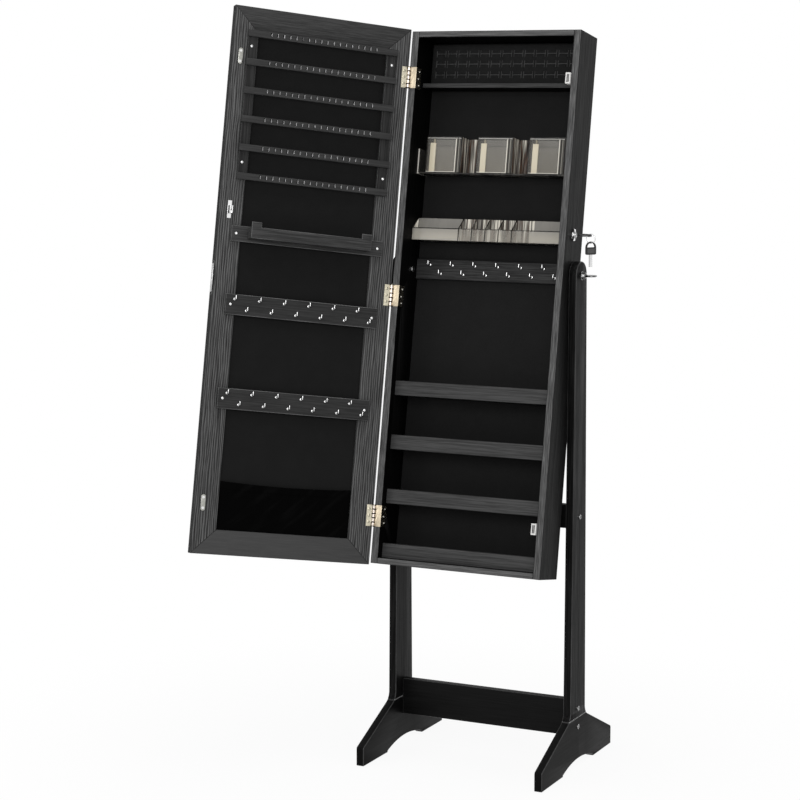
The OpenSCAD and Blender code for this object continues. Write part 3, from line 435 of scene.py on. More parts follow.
bin_floor_wood = stained_wood("bin_floor_wood", "cabinet", "X", 0x08, 0x12)
lip_wood = stained_wood("bin_lip_wood", "cabinet", "X", 0x36, 0x4A)
deck_wood = stained_wood("deck_wood", "cabinet", "X", 0x44, 0x66, zones=deck_zones)
side_wood = stained_wood("side_panel_wood", "cabinet", "Z", 0x26, 0x3A, zones=side_zones)
front_edge_wood = stained_wood("front_edge_wood", "cabinet", "Z", 0x34, 0x6C, 0.0012)
post_wood = stained_wood("post_wood", "stand", "Z", 0x09, 0x1A, shine=0.035, rough=0.42)
foot_wood = stained_wood(
    "foot_wood", "stand", "Y", 0x0D, 0x12, shine=0.027, rough=0.42, relief=0.00006, wear=0.02
)
bar_wood = stained_wood("crossbar_wood", "stand", "X", 0x0E, 0x15, relief=0.0001, wear=0.03)
dark_arris = stained_wood("dark_arris", "door", "X", 0x2E, 0x3E)
case_arris = stained_wood("case_arris", "cabinet", "X", 0x18, 0x28)
# The pale and stand arrises are painted highlights along eased edges, where the light catches them
pale_arris_highlight = stained_wood("pale_arris_highlight", "door", "X", 0x50, 0x74)
stand_arris_highlight = stained_wood("stand_arris_highlight", "stand", "Z", 0x30, 0x48, shine=0.1, rough=0.3)
# The walls of the slots in the rack's slats are painted near white, as highlights where light catches them
slot_wall_highlight = stained_wood("slot_wall_highlight", "door", "Z", 0xF0, 0xFF)
back_board = stained_wood("back_board", "cabinet", "Z", 0x12, 0x1C, 0.003)


def felt(name, place, level):
    """Flocked felt: fine speckled fibres with a faint sheen."""
    material, tree, shader = blank(
        name, Roughness=0.95, Specular_IOR_Level=0.0, Sheen_Weight=0.02, Sheen_Roughness=0.5
    )
    point = placed_point(tree, place)
    fibres = noise(tree, point, 1400, 3, 0.7)
    patches = noise(tree, point, 30, 3, 0.6)
    low, high = tone(level * 0.8), tone(level * 1.25)
    fuzz = ramp(tree, fibres, (0.35, low), (0.5, tone(level)), (0.7, high))
    share = span(tree, patches, 0.35, 0.7, 0.0, 0.3)
    wire(tree, shader, Base_Color=mixed(tree, share, fuzz, tone(level * 1.15)))
    bump(tree, shader, fibres, 0.0004, 0.5)
    return material


door_felt = felt("door_felt", "door", 0x1D)
back_felt = felt("back_felt", "cabinet", 0x1F)


def pocket_cloth():
    """Thin black stretch cloth: tiny knit ribs, darker than the felt behind it."""
    material, tree, shader = blank(
        "pocket_cloth",
        Roughness=0.9,
        Specular_IOR_Level=0.0,
        Sheen_Weight=0.02,
        Sheen_Roughness=0.3,
    )
    point = placed_point(tree, "door")
    knit = {"Vector": point, "Scale": 240.0, "Distortion": 0.6}
    ribs = add(tree, "ShaderNodeTexWave", knit, bands_direction="X").outputs[0]
    slant = {"Vector": point, "Rotation": (0, math.radians(48), 0)}
    slanted = add(tree, "ShaderNodeMapping", slant).outputs[0]
    # Slanting creases are painted paler, as highlights along the folds
    crease_highlights = noise(tree, scaled(tree, slanted, (1, 1, 0.14)), 60)
    ground = ramp(tree, ribs, (0.2, tone(0x05)), (0.8, tone(0x09)))
    wire(tree, shader, Base_Color=mixed(tree, span(tree, crease_highlights, 0.5, 0.72), ground, tone(0x0B)))
    bump(tree, shader, ribs, 0.0003, 0.5)
    return material


pouch_cloth = pocket_cloth()


def polished(name, place, level, rough, bands):
    """Plated metal with faint marks, and a painted reflection of a bright and dark studio in its colour.
    Bands are (turn away, grey) of that painted reflection."""
    material, tree, shader = blank(name, Metallic=1.0)
    point = placed_point(tree, place)
    marks = noise(tree, point, 260, 4, 0.6)
    turned = add(tree, "ShaderNodeLayerWeight", {0: 0.5}).outputs["Facing"]
    painted_reflection = ramp(tree, turned, *[(at, tone(grey)) for at, grey in bands])
    base = ramp(tree, marks, (0.3, level[0]), (0.7, level[1]))
    dullness = span(tree, marks, 0.3, 0.7, rough, rough + 0.06)
    wire(tree, shader, Base_Color=mixed(tree, 1.0, base, painted_reflection, "MULTIPLY"), Roughness=dullness)
    return material


def plating(level, red=1.0, blue=1.0, spread=14):
    """Two close tones of a plated colour."""
    greys = [tone(v)[0] for v in (level - spread, level)]
    return [(grey * red, grey, grey * blue, 1) for grey in greys]


# Greys of the painted studio reflection in each plated finish, by how far a face turns away
CHROME_BANDS = tuple(
    zip(
        (0.0, 0.13, 0.2, 0.32, 0.42, 0.52, 0.66, 0.78, 0.9),
        (0xFF, 0xF0, 0x38, 0x98, 0xF8, 0x38, 0x30, 0xF0, 0x18),
    )
)
KNOB_BANDS = tuple(
    zip(
        (0.0, 0.06, 0.1, 0.3, 0.36, 0.42, 0.62, 0.74, 0.9),
        (0x60, 0xF8, 0x28, 0x30, 0xE0, 0x20, 0x28, 0xF0, 0x18),
    )
)
NICKEL_BANDS = ((0.0, 0xFF), (0.12, 0xF0), (0.3, 0x90), (0.5, 0xA0), (0.62, 0xC8), (0.85, 0x30))
STRIKE_BANDS = ((0.0, 0xFF), (0.1, 0xF0), (0.3, 0x60), (0.6, 0x90), (0.9, 0x20))
BLADE_BANDS = ((0.0, 0xFF), (0.3, 0xF0), (0.6, 0xE8), (0.9, 0x80))
ROSE_BANDS = ((0.0, 0xFF), (0.5, 0xF8), (0.8, 0x60))
KEEPER_BANDS = ((0.0, 0xFF), (0.6, 0xF4), (0.9, 0xA0))
CHROME = plating(0xEC)
stand_chrome, cabinet_chrome, door_chrome = [
    polished(place + "_chrome", place, CHROME, 0.12, CHROME_BANDS) for place in PLACE
]
knob_chrome = polished("knob_chrome", "stand", CHROME, 0.12, KNOB_BANDS)
hinge_nickel = polished("hinge_nickel", "cabinet", plating(0xDA, 1.08, 0.78, 24), 0.3, NICKEL_BANDS)
hinge_warm = polished("hinge_warm", "cabinet", plating(0xD2, 1.17, 0.74, 22), 0.3, NICKEL_BANDS)
hinge_rose = polished("hinge_rose", "cabinet", plating(0xE4, 1.12, 0.9, 16), 0.2, ROSE_BANDS)
hinge_gap_shade = polished(
    "hinge_gap_shade", "cabinet", plating(0x28, 1.3, 0.8, 8), 0.5, NICKEL_BANDS
)
lock_nickel = polished("lock_nickel", "cabinet", plating(0xD2), 0.2, NICKEL_BANDS)
blade_nickel = polished("blade_nickel", "stand", plating(0xEE, spread=20), 0.2, BLADE_BANDS)
strike_steel = polished("strike_steel", "door", plating(0xB8, 1.0, 0.92, 24), 0.2, STRIKE_BANDS)
keeper_steel = polished("keeper_steel", "door", plating(0xF4), 0.25, KEEPER_BANDS)
recess_steel = polished("recess_steel", "stand", plating(0x38), 0.4, NICKEL_BANDS)


def faced_off(name, place, centre, arms, *stops):
    """A lathe-turned face, with a painted highlight in arms from the centre, where its fine rings would throw the
    light out.
    """
    material, tree, shader = blank(name, Metallic=0.6, Roughness=0.3)
    point = placed_point(tree, place)
    rise = reckon(tree, "SUBTRACT", part_of(tree, point, "Z"), centre[1])
    run = reckon(tree, "SUBTRACT", part_of(tree, point, "Y"), centre[0])
    highlight_arms = reckon(tree, "COSINE", times(tree, reckon(tree, "ARCTAN2", rise, run), arms))
    rings = noise(tree, point, 900)
    highlight_arms = plus(tree, highlight_arms, span(tree, rings, 0.3, 0.7, -0.15, 0.15))
    share = span(tree, highlight_arms, -1.0, 1.0)
    wire(tree, shader, Base_Color=ramp(tree, share, *[(at, tone(grey)) for at, grey in stops]))
    return material


def moulded(name, place, level, warm, rough):
    """Moulded plastic with a fine spark-eroded grain."""
    material, tree, shader = blank(name)
    point = placed_point(tree, place)
    grain = noise(tree, point, 1800)
    clouds = noise(tree, point, 60, 3)
    colour = ramp(tree, clouds, (0.3, tone(level - 3, warm)), (0.7, tone(level + 3, warm)))
    dullness = span(tree, grain, 0.3, 0.7, rough - 0.04, rough + 0.05)
    wire(tree, shader, Base_Color=colour, Roughness=dullness)
    bump(tree, shader, grain, 0.00008, 0.4)
    return material


catch_white = moulded("catch_white", "cabinet", 0xDC, 0.01, 0.4)
magnet_grey = moulded("magnet_grey", "cabinet", 0x30, 0.0, 0.5)
black_plastic = moulded("black_plastic", "stand", 0x12, 0.0, 0.34)
key_panel_grey = moulded("key_panel_grey", "stand", 0x40, 0.0, 0.4)
cleat_black = moulded("cleat_black", "cabinet", 0x0C, 0.0, 0.45)


def acrylic(name, alpha, *stops, axis="Z", streak=0.0, streaks_in=None, lines=None, strips=()):
    """Smoky clear acrylic with its reflections painted in. Stops are (place along the axis, grey, warmth) of
    what shows in it, painted reflections among them, streak the share of painted glints that run down it,
    lines (first, last, pitch, half width) the dividers behind it, and strips (from, to, low, high, grey,
    warmth) the walls, corners and glints that show on each box, as painted highlights, reflections and
    dark edge lines."""
    material, tree, shader = blank(name, Specular_IOR_Level=0.3, IOR=1.49, Alpha=alpha)
    point = placed_point(tree, "cabinet")
    across = part_of(tree, point, "X")
    height = part_of(tree, point, "Z")
    lo, hi = stops[0][0], stops[-1][0]
    run = {0: part_of(tree, point, axis), 1: lo, 2: hi}
    share = add(tree, "ShaderNodeMapRange", run).outputs[0]
    colour = ramp(tree, share, *[((at - lo) / (hi - lo), tone(*seen)) for at, *seen in stops])
    wipes = noise(tree, scaled(tree, point, (1, 1, 0.3)), 40, 3, 0.6)
    colour = mixed(tree, span(tree, wipes, 0.35, 0.7, 0.0, 0.12), colour, tone(0xB0, 0.05))
    if streak:
        # Painted glints: streaks of reflected light that run down the clear walls
        flow = noise(tree, scaled(tree, point, (1, 1, 0.05)), 170, 2, 0.65)
        greys = (tone(0x12), GLINT_BROWN, tone(0x60, 0.05), tone(0x9C, 0.06), tone(0xE0, 0.06))
        glints = ramp(tree, flow, *zip((0.38, 0.45, 0.5, 0.56, 0.62), greys))
        share = times(tree, within(tree, across, *streaks_in), streak) if streaks_in else streak
        colour = mixed(tree, share, colour, glints)
    shown = None
    # Painted highlights, reflections and dark edge lines of each box's walls and corners
    for start, end, z_lo, z_hi, grey, warm in strips:
        step = reckon(tree, "FLOORED_MODULO", plus(tree, across, IN_X), BOX_PITCH)
        inside = times(tree, within(tree, step, start, end), within(tree, height, z_lo, z_hi))
        colour = mixed(tree, inside, colour, tone(grey, warm))
        shown = reckon(tree, "MAXIMUM", shown, inside) if shown else inside
    if shown:
        wire(tree, shader, Alpha=span(tree, shown, 0.0, 1.0, alpha, 0.95))
    if lines:
        first, last, pitch, half = lines
        step = reckon(tree, "SUBTRACT", across, first - pitch / 2)
        step = reckon(tree, "FLOORED_MODULO", step, pitch)
        off = reckon(tree, "ABSOLUTE", reckon(tree, "SUBTRACT", step, pitch / 2))
        near = reckon(tree, "LESS_THAN", off, half)
        near = times(tree, near, within(tree, across, first - half, last + half))
        colour = mixed(tree, near, colour, tone(0x10))
    wire(tree, shader, Base_Color=colour, Roughness=span(tree, wipes, 0.3, 0.7, 0.08, 0.14))
    return material


GLINT_BROWN = (0.10, 0.055, 0.035, 1)
BOX_PITCH, BOX_W, BOX_FRONT, TRAY_FRONT = 2 * IN_X / 3, 0.078, 0.041, 0.040
BOX_L, BOX_LOW, BOX_TOP = (BOX_PITCH - BOX_W) / 2, 0.798, 0.872
BOX_R = BOX_L + BOX_W
DIVIDERS = (-0.06575, 0.05105, 0.0292, 0.0011)
AMONG = (-0.066, 0.09)
# The boxes' fronts: painted highlights along the top and bottom, a painted cream reflection by the left wall, the
# right wall with painted light and dark lines, and dark lines along the edges
clear_front = acrylic(
    "clear_front",
    0.25,
    (BOX_LOW, 0x8A, 0.06),
    (0.874, 0x7A, 0.03),
    strips=(
        (BOX_L, BOX_R, BOX_TOP - 0.0042, BOX_TOP - 0.0026, 0xA0, 0.03),
        (BOX_L + 0.0085, BOX_L + 0.0205, BOX_LOW, BOX_TOP - 0.0135, 0xC4, 0.11),
        (BOX_R - 0.0116, BOX_R, BOX_LOW, BOX_TOP - 0.0042, 0x4A, 0.07),
        (BOX_R - 0.0092, BOX_R - 0.0080, BOX_LOW, BOX_TOP, 0x14, 0.0),
        (BOX_R - 0.0064, BOX_R - 0.0052, BOX_LOW, BOX_TOP - 0.006, 0x90, 0.05),
        (BOX_R - 0.0134, BOX_R - 0.0116, BOX_LOW, BOX_TOP - 0.005, 0xDC, 0.05),
        (BOX_L, BOX_R - 0.0116, BOX_LOW + 0.0014, BOX_LOW + 0.0026, 0xD8, 0.05),
        (BOX_L, BOX_L + 0.0018, BOX_LOW, BOX_TOP, 0x18, 0.06),
        (BOX_R - 0.002, BOX_R, BOX_LOW, BOX_TOP, 0x10, 0.0),
        (BOX_L, BOX_R, BOX_TOP - 0.0018, BOX_TOP, 0x18, 0.0),
        (BOX_L, BOX_R, BOX_LOW - 0.001, BOX_LOW + 0.001, 0x08, 0.0),
    ),
)
clear_back = acrylic(
    "clear_back",
    0.95,
    (0.798, 0x9A, 0.06),
    (0.85, 0x8E, 0.06),
    (0.857, 0x84, 0.05),
    (0.858, 0x5A, 0.04),
    (0.86, 0x82, 0.045),
    (0.874, 0x80, 0.045),
)
# The boxes' left walls: a cream painted reflection that brightens towards the back
clear_cream_reflection = acrylic(
    "clear_cream_reflection",
    0.9,
    (BOX_FRONT, 0x28, 0.05),
    (0.066, 0x38, 0.08),
    (0.07, 0xF0, 0.13),
    (LINING_Y, 0xFF, 0.14),
    axis="Y",
)
# The boxes' right walls, streaked with painted glints
clear_side = acrylic("clear_side", 0.9, (0.798, 0x60, 0.04), (0.874, 0x58, 0.04), streak=0.95)
clear_rim = acrylic("clear_rim", 0.97, (0.6, 0x08, 0.02), (0.9, 0x0C, 0.02))
clear_thin = acrylic("clear_thin", 0.22, (0.79, 0x60, 0.04), (0.85, 0x70, 0.04))
# The rack's front and lower edges: painted highlights at the ends by the walls and a dark edge line between
BRIGHT_END, DARK_RUN = (0xC8, 0.04), (0x0C, 0.02)
clear_edge = acrylic(
    "clear_edge",
    0.9,
    (-0.1695, *BRIGHT_END),
    (-0.1655, *BRIGHT_END),
    (-0.1652, *DARK_RUN),
    (0.1652, *DARK_RUN),
    (0.1655, *BRIGHT_END),
    (0.1695, *BRIGHT_END),
    axis="X",
)
# The top rims of the clear pieces are painted paler, as a highlight
clear_lip_highlight = acrylic("clear_lip_highlight", 0.85, (0.6, 0x98, 0.05), (0.9, 0x90, 0.05))
# The tray's front: painted glints among the dividers and a dark edge line along the top
tray_front = acrylic(
    "tray_front",
    0.6,
    (0.655, 0xC2, 0.06),
    (0.672, 0xB2, 0.06),
    (0.6826, 0xA2, 0.05),
    (0.6830, 0x18, 0.0),
    (0.688, 0x18, 0.0),
    streak=0.5,
    streaks_in=AMONG,
    lines=DIVIDERS,
)
# The tray's back and sides are streaked with painted glints
tray_back = acrylic(
    "tray_back", 0.95, (0.655, 0x7E, 0.05), (0.71, 0x78, 0.04), streak=0.85, streaks_in=AMONG
)
tray_side = acrylic("tray_side", 0.8, (0.655, 0x80, 0.06), (0.71, 0x70, 0.06), streak=0.85)
# The tray's left end: a cream painted reflection, brightest towards the back
tray_cream_reflection = acrylic(
    "tray_cream_reflection", 0.97, (TRAY_FRONT, 0xA0, 0.08), (0.05, 0xF0, 0.06), (0.066, 0xFF, 0.05), axis="Y"
)


def silvered():
    material, tree, shader = blank("silvered_glass", Metallic=1.0)
    point = placed_point(tree, "door")
    haze = noise(tree, point, 6, 2)
    cool = ramp(tree, haze, (0.3, tone(0xDA, -0.012)), (0.7, tone(0xE0, -0.012)))
    wire(tree, shader, Base_Color=cool, Roughness=span(tree, haze, 0.3, 0.7, 0.012, 0.03))
    return material


mirror_glass = silvered()

FINISH = {
    stile_wood: "door_hinge_stile door_free_stile",
    top_rail_wood: "door_top_rail",
    bottom_rail_wood: "door_bottom_rail",
    rack_wood: "rack_slats",
    rack_stile_wood: "rack_stiles",
    ledge_wood: "ledge_rail ledge_trough ledge_front",
    hook_board_wood: "upper_hook_board lower_hook_board",
    cabinet_board_wood: "cabinet_hook_board",
    shelf_wood: "ring_shelf",
    bin_floor_wood: "bin_floors",
    back_board: "cabinet_back",
    lip_wood: "bin_lips",
    deck_wood: "cabinet_top cabinet_bottom",
    side_wood: "cabinet_left_side cabinet_right_side",
    post_wood: "left_post right_post",
    foot_wood: "left_foot right_foot",
    bar_wood: "lower_crossbar upper_crossbar",
    door_felt: "door_panel",
    pouch_cloth: "pouch",
    back_felt: "back_lining ring_pad",
    stand_chrome: "stand_screws pivot_bolts",
    knob_chrome: "left_tilt_knob right_tilt_knob",
    cabinet_chrome: "cabinet_hooks cabinet_screws lock_barrel key_ring",
    door_chrome: "door_hooks door_screws edge_pull",
    strike_steel: "strike_plates",
    keeper_steel: "lock_strike",
    hinge_nickel: "hinge_door_leaves hinge_cabinet_leaves hinge_pins",
    lock_nickel: "lock_nut lock_plug lock_cam",
    catch_white: "magnet_catches",
    black_plastic: "pivot_spacers lock_key spare_key",
    cleat_black: "tray_cleat",
    clear_front: "clear_rack clear_box_left clear_box_middle clear_box_right",
    tray_front: "clear_tray",
    mirror_glass: "mirror",
}
for material, names in FINISH.items():
    for name in names.split():
        painted(nodes[name], material)

# ---- Boards with eased edges ----


def long_sharp_edges(ob, smallest):
    """Indices of the sharp edges that belong to runs larger than a screw hole or a slot."""
    bm = bmesh.new()
    bm.from_mesh(ob.data)
    keep = set()
    sharp = [e for e in bm.edges if sharper(e, 32)]
    for run in clusters(sharp, lambda e: [near for v in e.verts for near in v.link_edges]):
        lo, hi = corners([v.co for e in run for v in e.verts])
        if (hi - lo).length > smallest:
            keep.update(e.index for e in run)
    bm.free()
    return keep


def eased(node, width, arris=None, smallest=0.03):
    """A board as the CAD has it, with the sharp edges taken off by a width in millimetres."""
    ob = bare_copy(node, node + "_eased")
    wanted = long_sharp_edges(ob, smallest)
    pick(ob, edges=lambda e: e.index in wanted)
    if arris:
        ob.data.materials.append(arris)
    bpy.ops.mesh.bevel(
        offset=width * MM,
        segments=2,
        affect="EDGES",
        clamp_overlap=True,
        material=1 if arris else -1,
    )
    done()
    smooth(ob, 30)
    return hand_over(ob, body_of_node[node], [node])


for names, width, slot, arris in (
    ("left_post right_post", 2.0, "ebony", stand_arris_highlight),
    ("left_foot right_foot", 1.4, "ebony", stand_arris_highlight),
    ("lower_crossbar upper_crossbar", 1.2, "ebony_dark", stand_arris_highlight),
    ("cabinet_left_side cabinet_right_side", 0.9, "ebony", case_arris),
    ("cabinet_top cabinet_bottom", 0.7, "ebony", case_arris),
    ("bin_lips", 0.9, "ebony_light", case_arris),
    ("ring_shelf", 0.7, "ebony_dark", None),
    ("cabinet_hook_board", 0.8, "ebony_dark", case_arris),
    ("door_hinge_stile door_free_stile door_top_rail door_bottom_rail", 0.8, "ebony", dark_arris),
    ("rack_stiles", 0.7, "ebony", pale_arris_highlight),
    ("rack_slats", 0.6, "ebony", None),
    ("ledge_rail ledge_front", 0.7, "ebony", pale_arris_highlight),
    ("upper_hook_board lower_hook_board", 0.8, "ebony_dark", pale_arris_highlight),
    ("tray_cleat", 0.6, "black_plastic", None),
    ("magnet_catches", 0.5, "white_plastic", None),
):
    for node in names.split():
        eased(node, width, arris)


def repainted(name, place, *rules):
    """Gives a rule's material to faces whose centre and normal, in a frame, its test likes."""
    ob = bpy.data.objects[name]
    back = PLACE[place].inverted()
    turn = back.to_3x3()
    for material, test in rules:
        ob.data.materials.append(material)
        index = len(ob.data.materials) - 1
        for face in ob.data.polygons:
            if test(back @ face.center, turn @ face.normal):
                face.material_index = index


LOCK = Vector((0.196, 0.0386, 0.6785))
# Greys of the painted highlight arms on the lock's turned collar
COLLAR_TONES = ((0.0, 0x08), (0.5, 0x18), (0.68, 0xF0), (1.0, 0xFF))
turned_collar = faced_off("turned_collar", "cabinet", (LOCK.y, LOCK.z), 4, *COLLAR_TONES)
# A bright line is painted as a highlight along the joint where each foot is let onto its post
seam_highlight = stained_wood("joint_seam_highlight", "stand", "X", 0x90, 0xB8)
for name in ("left", "right"):
    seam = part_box(name + "_foot")[1][2]
    for board in ("_post_eased", "_foot_eased"):
        rule = (seam_highlight, lambda c, n: abs(c.z - seam) < MM and abs(n.x) > 0.3)
        repainted(name + board, "stand", rule)

for name in ("cabinet_left_side_eased", "cabinet_right_side_eased"):
    repainted(name, "cabinet", (front_edge_wood, lambda c, n: c.y < 0.0004 and n.y < -0.95))
# The slot walls get the painted highlight
slot_highlight_rule = (slot_wall_highlight, lambda c, n: abs(n.x) > 0.7 and 0.03 < c.x < 0.34)
repainted("rack_slats_eased", "door", slot_highlight_rule)

# ---- Screws: domed heads with a cross recess ----


def islands(node):
    """Loose parts of a node's mesh, each as its lowest and highest corner in its body's frame."""
    place = PLACE[body_of_node[node]].inverted()
    bm = bmesh.new()
    bm.from_mesh(nodes[node].data)
    bmesh.ops.remove_doubles(bm, verts=bm.verts, dist=1e-6)
    parts = clusters(list(bm.verts), lambda v: [e.other_vert(v) for e in v.link_edges])
    found = [corners([place @ v.co for v in part]) for part in parts]
    bm.free()
    return found


def screw_head(radius, height):
    """A pan head seen from +Z with its seat at z = 0, and a cross recess in it."""
    only()
    bpy.ops.mesh.primitive_cylinder_add(
        vertices=28, radius=radius, depth=height * 0.5, location=(0, 0, height * 0.25)
    )
    head = bpy.context.object
    pick(head, faces=lambda f: f.normal.z > 0.9)
    for rise, shrink in ((0.3, 0.84), (0.2, 0.68)):
        bpy.ops.mesh.extrude_region_move(TRANSFORM_OT_translate={"value": (0, 0, height * rise)})
        bpy.ops.transform.resize(value=(shrink, shrink, 1))
    done()
    slim, wide = radius * 0.13, radius * 0.62
    arm, outline = [(wide, -slim), (wide, slim), (slim, slim)], []
    while len(outline) < 12:
        outline += arm
        arm = [(-y, x) for x, y in arm]
    cross = outline_plate("cross", outline, height * 1.05)
    cut_away(head, settle(cross, Matrix.Translation((0, 0, height * 0.875))))
    smooth(head, 40)
    return head


def frame_to(point, outward, spin):
    """Turns +Z to the outward direction at a point."""
    turn = Vector(outward).to_track_quat("Z", "Y").to_matrix().to_4x4()
    return Matrix.Translation(point) @ turn @ Matrix.Rotation(spin, 4, "Z")


def screws_on(node, axis, two_sided, radius, height, chrome):
    """Screw heads on the outer ends of the node's shanks, all in one piece. On two sided boards the
    outer end is the one away from the middle, else the higher one along the axis."""
    body = body_of_node[node]
    heads = []
    for index, (lo, hi) in enumerate(islands(node)):
        point, outward = (lo + hi) / 2, Vector()
        side = -1 if two_sided and point[axis] < 0 else 1
        point[axis] = (hi if side > 0 else lo)[axis] - side * height
        outward[axis] = side
        head = screw_head(radius, height)
        painted(head, hinge_nickel if body == "door" and point.x < FRAME_W / 3 else chrome)
        heads.append(settle(head, PLACE[body] @ frame_to(point, outward, 0.35 + index * 1.1)))
    return hand_over(joined(node + "_crossed", heads), body, [node])


screws_on("door_screws", 1, False, 0.0029, 0.0015, door_chrome)
screws_on("cabinet_screws", 0, False, 0.0029, 0.0015, cabinet_chrome)
screws_on("stand_screws", 0, True, 0.005, 0.0028, stand_chrome)

# ---- Round and plated fittings, smoothed ----


def smoothed(node):
    """A CAD fitting with its facets shaded round."""
    ob = bare_copy(node, node + "_turned")
    smooth(ob, 40)
    return hand_over(ob, body_of_node[node], [node])


SMALL_PART = 0.006
BOXES = "clear_box_left clear_box_middle clear_box_right"
for names, slot in (
    ("door_hooks cabinet_hooks left_tilt_knob right_tilt_knob pivot_bolts", "bright_metal"),
    ("pivot_spacers", "black_plastic"),
    ("key_ring lock_barrel", "bright_metal"),
    ("lock_plug hinge_pins", "nickel"),
):
    for node in names.split():
        smoothed(node)
for names, width, slot in (
    ("hinge_door_leaves hinge_cabinet_leaves", 0.25, "nickel"),
    ("lock_strike edge_pull", 0.3, "bright_metal"),
    ("lock_nut", 0.4, "nickel"),
    ("lock_cam", 0.3, "nickel"),
    ("clear_rack", 0.35, "clear_plastic"),
    (BOXES, 0.9, "clear_plastic"),
):
    for node in names.split():
        eased(node, width, smallest=SMALL_PART)

# The rims, bevels and undersides are painted near black as dark edge lines, the same on every clear piece
clear_rims = (clear_rim, lambda c, n: max(map(abs, n)) < 0.95 or n.z < -0.95)
for index, box in enumerate(BOXES.split()):
    middle = (index - 1) * BOX_PITCH
    repainted(
        box + "_eased",
        "cabinet",
        clear_rims,
        (clear_lip_highlight, lambda c, n: n.z > 0.95 and c.z > 0.87),
        (clear_cream_reflection, lambda c, n: abs(n.x) > 0.95 and c.x < middle),
        (clear_side, lambda c, n: abs(n.x) > 0.95 and c.x > middle),
        (clear_back, lambda c, n: abs(n.y) > 0.95 and c.y > BOX_FRONT + 0.01),
    )
# The rack's clear back, with painted streaks of light where it shows between the boxes
RACK_X, RACK_FRONT, RACK_BACK, RACK_TOP, GAP_HALF_W = 0.1684, 0.0811, 0.0819, 0.8718, 0.0215
rack_back = block("rack_back", (-RACK_X, RACK_FRONT, BOX_LOW), (RACK_X, RACK_BACK, RACK_TOP))
ease(rack_back, 0.0002)
for side in (-1, 1):
    for edge in (-GAP_HALF_W, GAP_HALF_W):
        pick(rack_back, faces=lambda f: True)
        bpy.ops.mesh.bisect(plane_co=(side * BOX_PITCH / 2 + edge, 0, 0), plane_no=(1, 0, 0))
        done()
painted(settle(rack_back, cabinet_place), clear_thin)
gaps = (clear_side, lambda c, n: abs(abs(c.x) - BOX_PITCH / 2) < GAP_HALF_W)
repainted("rack_back", "cabinet", gaps)
hand_over(rack_back, "cabinet")
repainted(
    "clear_rack_eased",
    "cabinet",
    (clear_edge, lambda c, n: n.y < -0.5 or n.z < -0.5),
    (clear_thin, lambda c, n: n.y > -0.5 and n.z > -0.5),
)

# ---- Hinges: bright knuckles with painted shade in the gaps between them, a warmer leaf on the cabinet ----

HINGE_Z, HINGE_H, KNUCKLES = (0.095, 0.540, 0.985), 0.043, 5
KNUCKLE_R, GAP_HALF = 0.0034, 0.0012
KNUCKLE_ENDS = [z + HINGE_H * (k / KNUCKLES - 0.5) for z in HINGE_Z for k in range(KNUCKLES + 1)]
HINGE_AXIS = Vector((-CAB_W / 2, -HINGE_GAP / 2))


def by_pin(point):
    return (point.xy - HINGE_AXIS).length < KNUCKLE_R


def in_gap(point):
    return by_pin(point) and min(abs(point.z - end) for end in KNUCKLE_ENDS) < GAP_HALF


def split_at_gaps(ob):
    """Cuts the knuckles' faces where their gaps of painted shade begin and end."""
    back = cabinet_place.inverted()
    bm = bmesh.new()
    bm.from_mesh(ob.data)
    for end in KNUCKLE_ENDS:
        for cut in (end - GAP_HALF, end + GAP_HALF):
            near = [f for f in bm.faces if by_pin(back @ f.calc_center_median())]
            edges = {e for f in near for e in f.edges}
            verts = {v for f in near for v in f.verts}
            bmesh.ops.bisect_plane(
                bm,
                geom=near + list(edges) + list(verts),
                plane_co=cabinet_place @ Vector((0, 0, cut)),
                plane_no=cabinet_place.to_3x3() @ Vector((0, 0, 1)),
            )
    bm.to_mesh(ob.data)
    bm.free()


# The gaps between the knuckles get painted shade
for name in ("hinge_door_leaves_eased", "hinge_cabinet_leaves_eased"):
    split_at_gaps(bpy.data.objects[name])
    repainted(
        name,
        "cabinet",
        (hinge_rose, lambda c, n: by_pin(c)),
        (hinge_gap_shade, lambda c, n: in_gap(c)),
        (hinge_warm, lambda c, n: not by_pin(c) and c.x > HINGE_AXIS.x and n.y < -0.9),
    )
repainted("lock_barrel_turned", "cabinet", (turned_collar, lambda c, n: n.x > 0.5))

# ---- Strike plates: eased plates with a flush screw at each end ----

CATCH_Z = (0.097, 0.983)
STRIKE_U, STRIKE_T, SCREW_STEP = DOOR_W - 0.018, 0.0012, 0.0105
eased("strike_plates", 0.4, recess_steel, SMALL_PART)
heads = []
for z in CATCH_Z:
    for side in (-1, 1):
        head = screw_head(0.0026, 0.0002)
        painted(head, door_chrome)
        point = Vector((STRIKE_U, STRIKE_T, z + side * SCREW_STEP))
        heads.append(settle(head, door_place @ frame_to(point, (0, 1, 0), 0.6 + side)))
hand_over(joined("strike_screws", heads), "door")

# ---- Magnet catches: two steel faces in each housing ----

FACE_X, FACE_STEP, FACE_HALF = IN_X - 0.005, 0.0014, Vector((0.0009, 0.0004, 0.0078))
faces = []
for z in CATCH_Z:
    for side in (-1, 1):
        middle = Vector((FACE_X + side * FACE_STEP, -0.0038, z))
        plate = block("steel_face", middle - FACE_HALF, middle + FACE_HALF)
        ease(plate, 0.00015)
        painted(plate, magnet_grey)
        faces.append(settle(plate, cabinet_place))
hand_over(joined("magnet_faces", faces), "cabinet")

# ---- Keys: bright blade, black head with a half-moon opening and a sunk panel ----

HEAD_L, HEAD_W, HEAD_T = 0.026, 0.024, 0.0036
BLADE_L, BLADE_W, BLADE_T = 0.024, 0.007, 0.002


def arc(cx, cy, r, a0, a1, steps):
    angles = [math.radians(a0 + (a1 - a0) * i / steps) for i in range(steps + 1)]
    return [(cx + r * math.cos(a), cy + r * math.sin(a)) for a in angles]


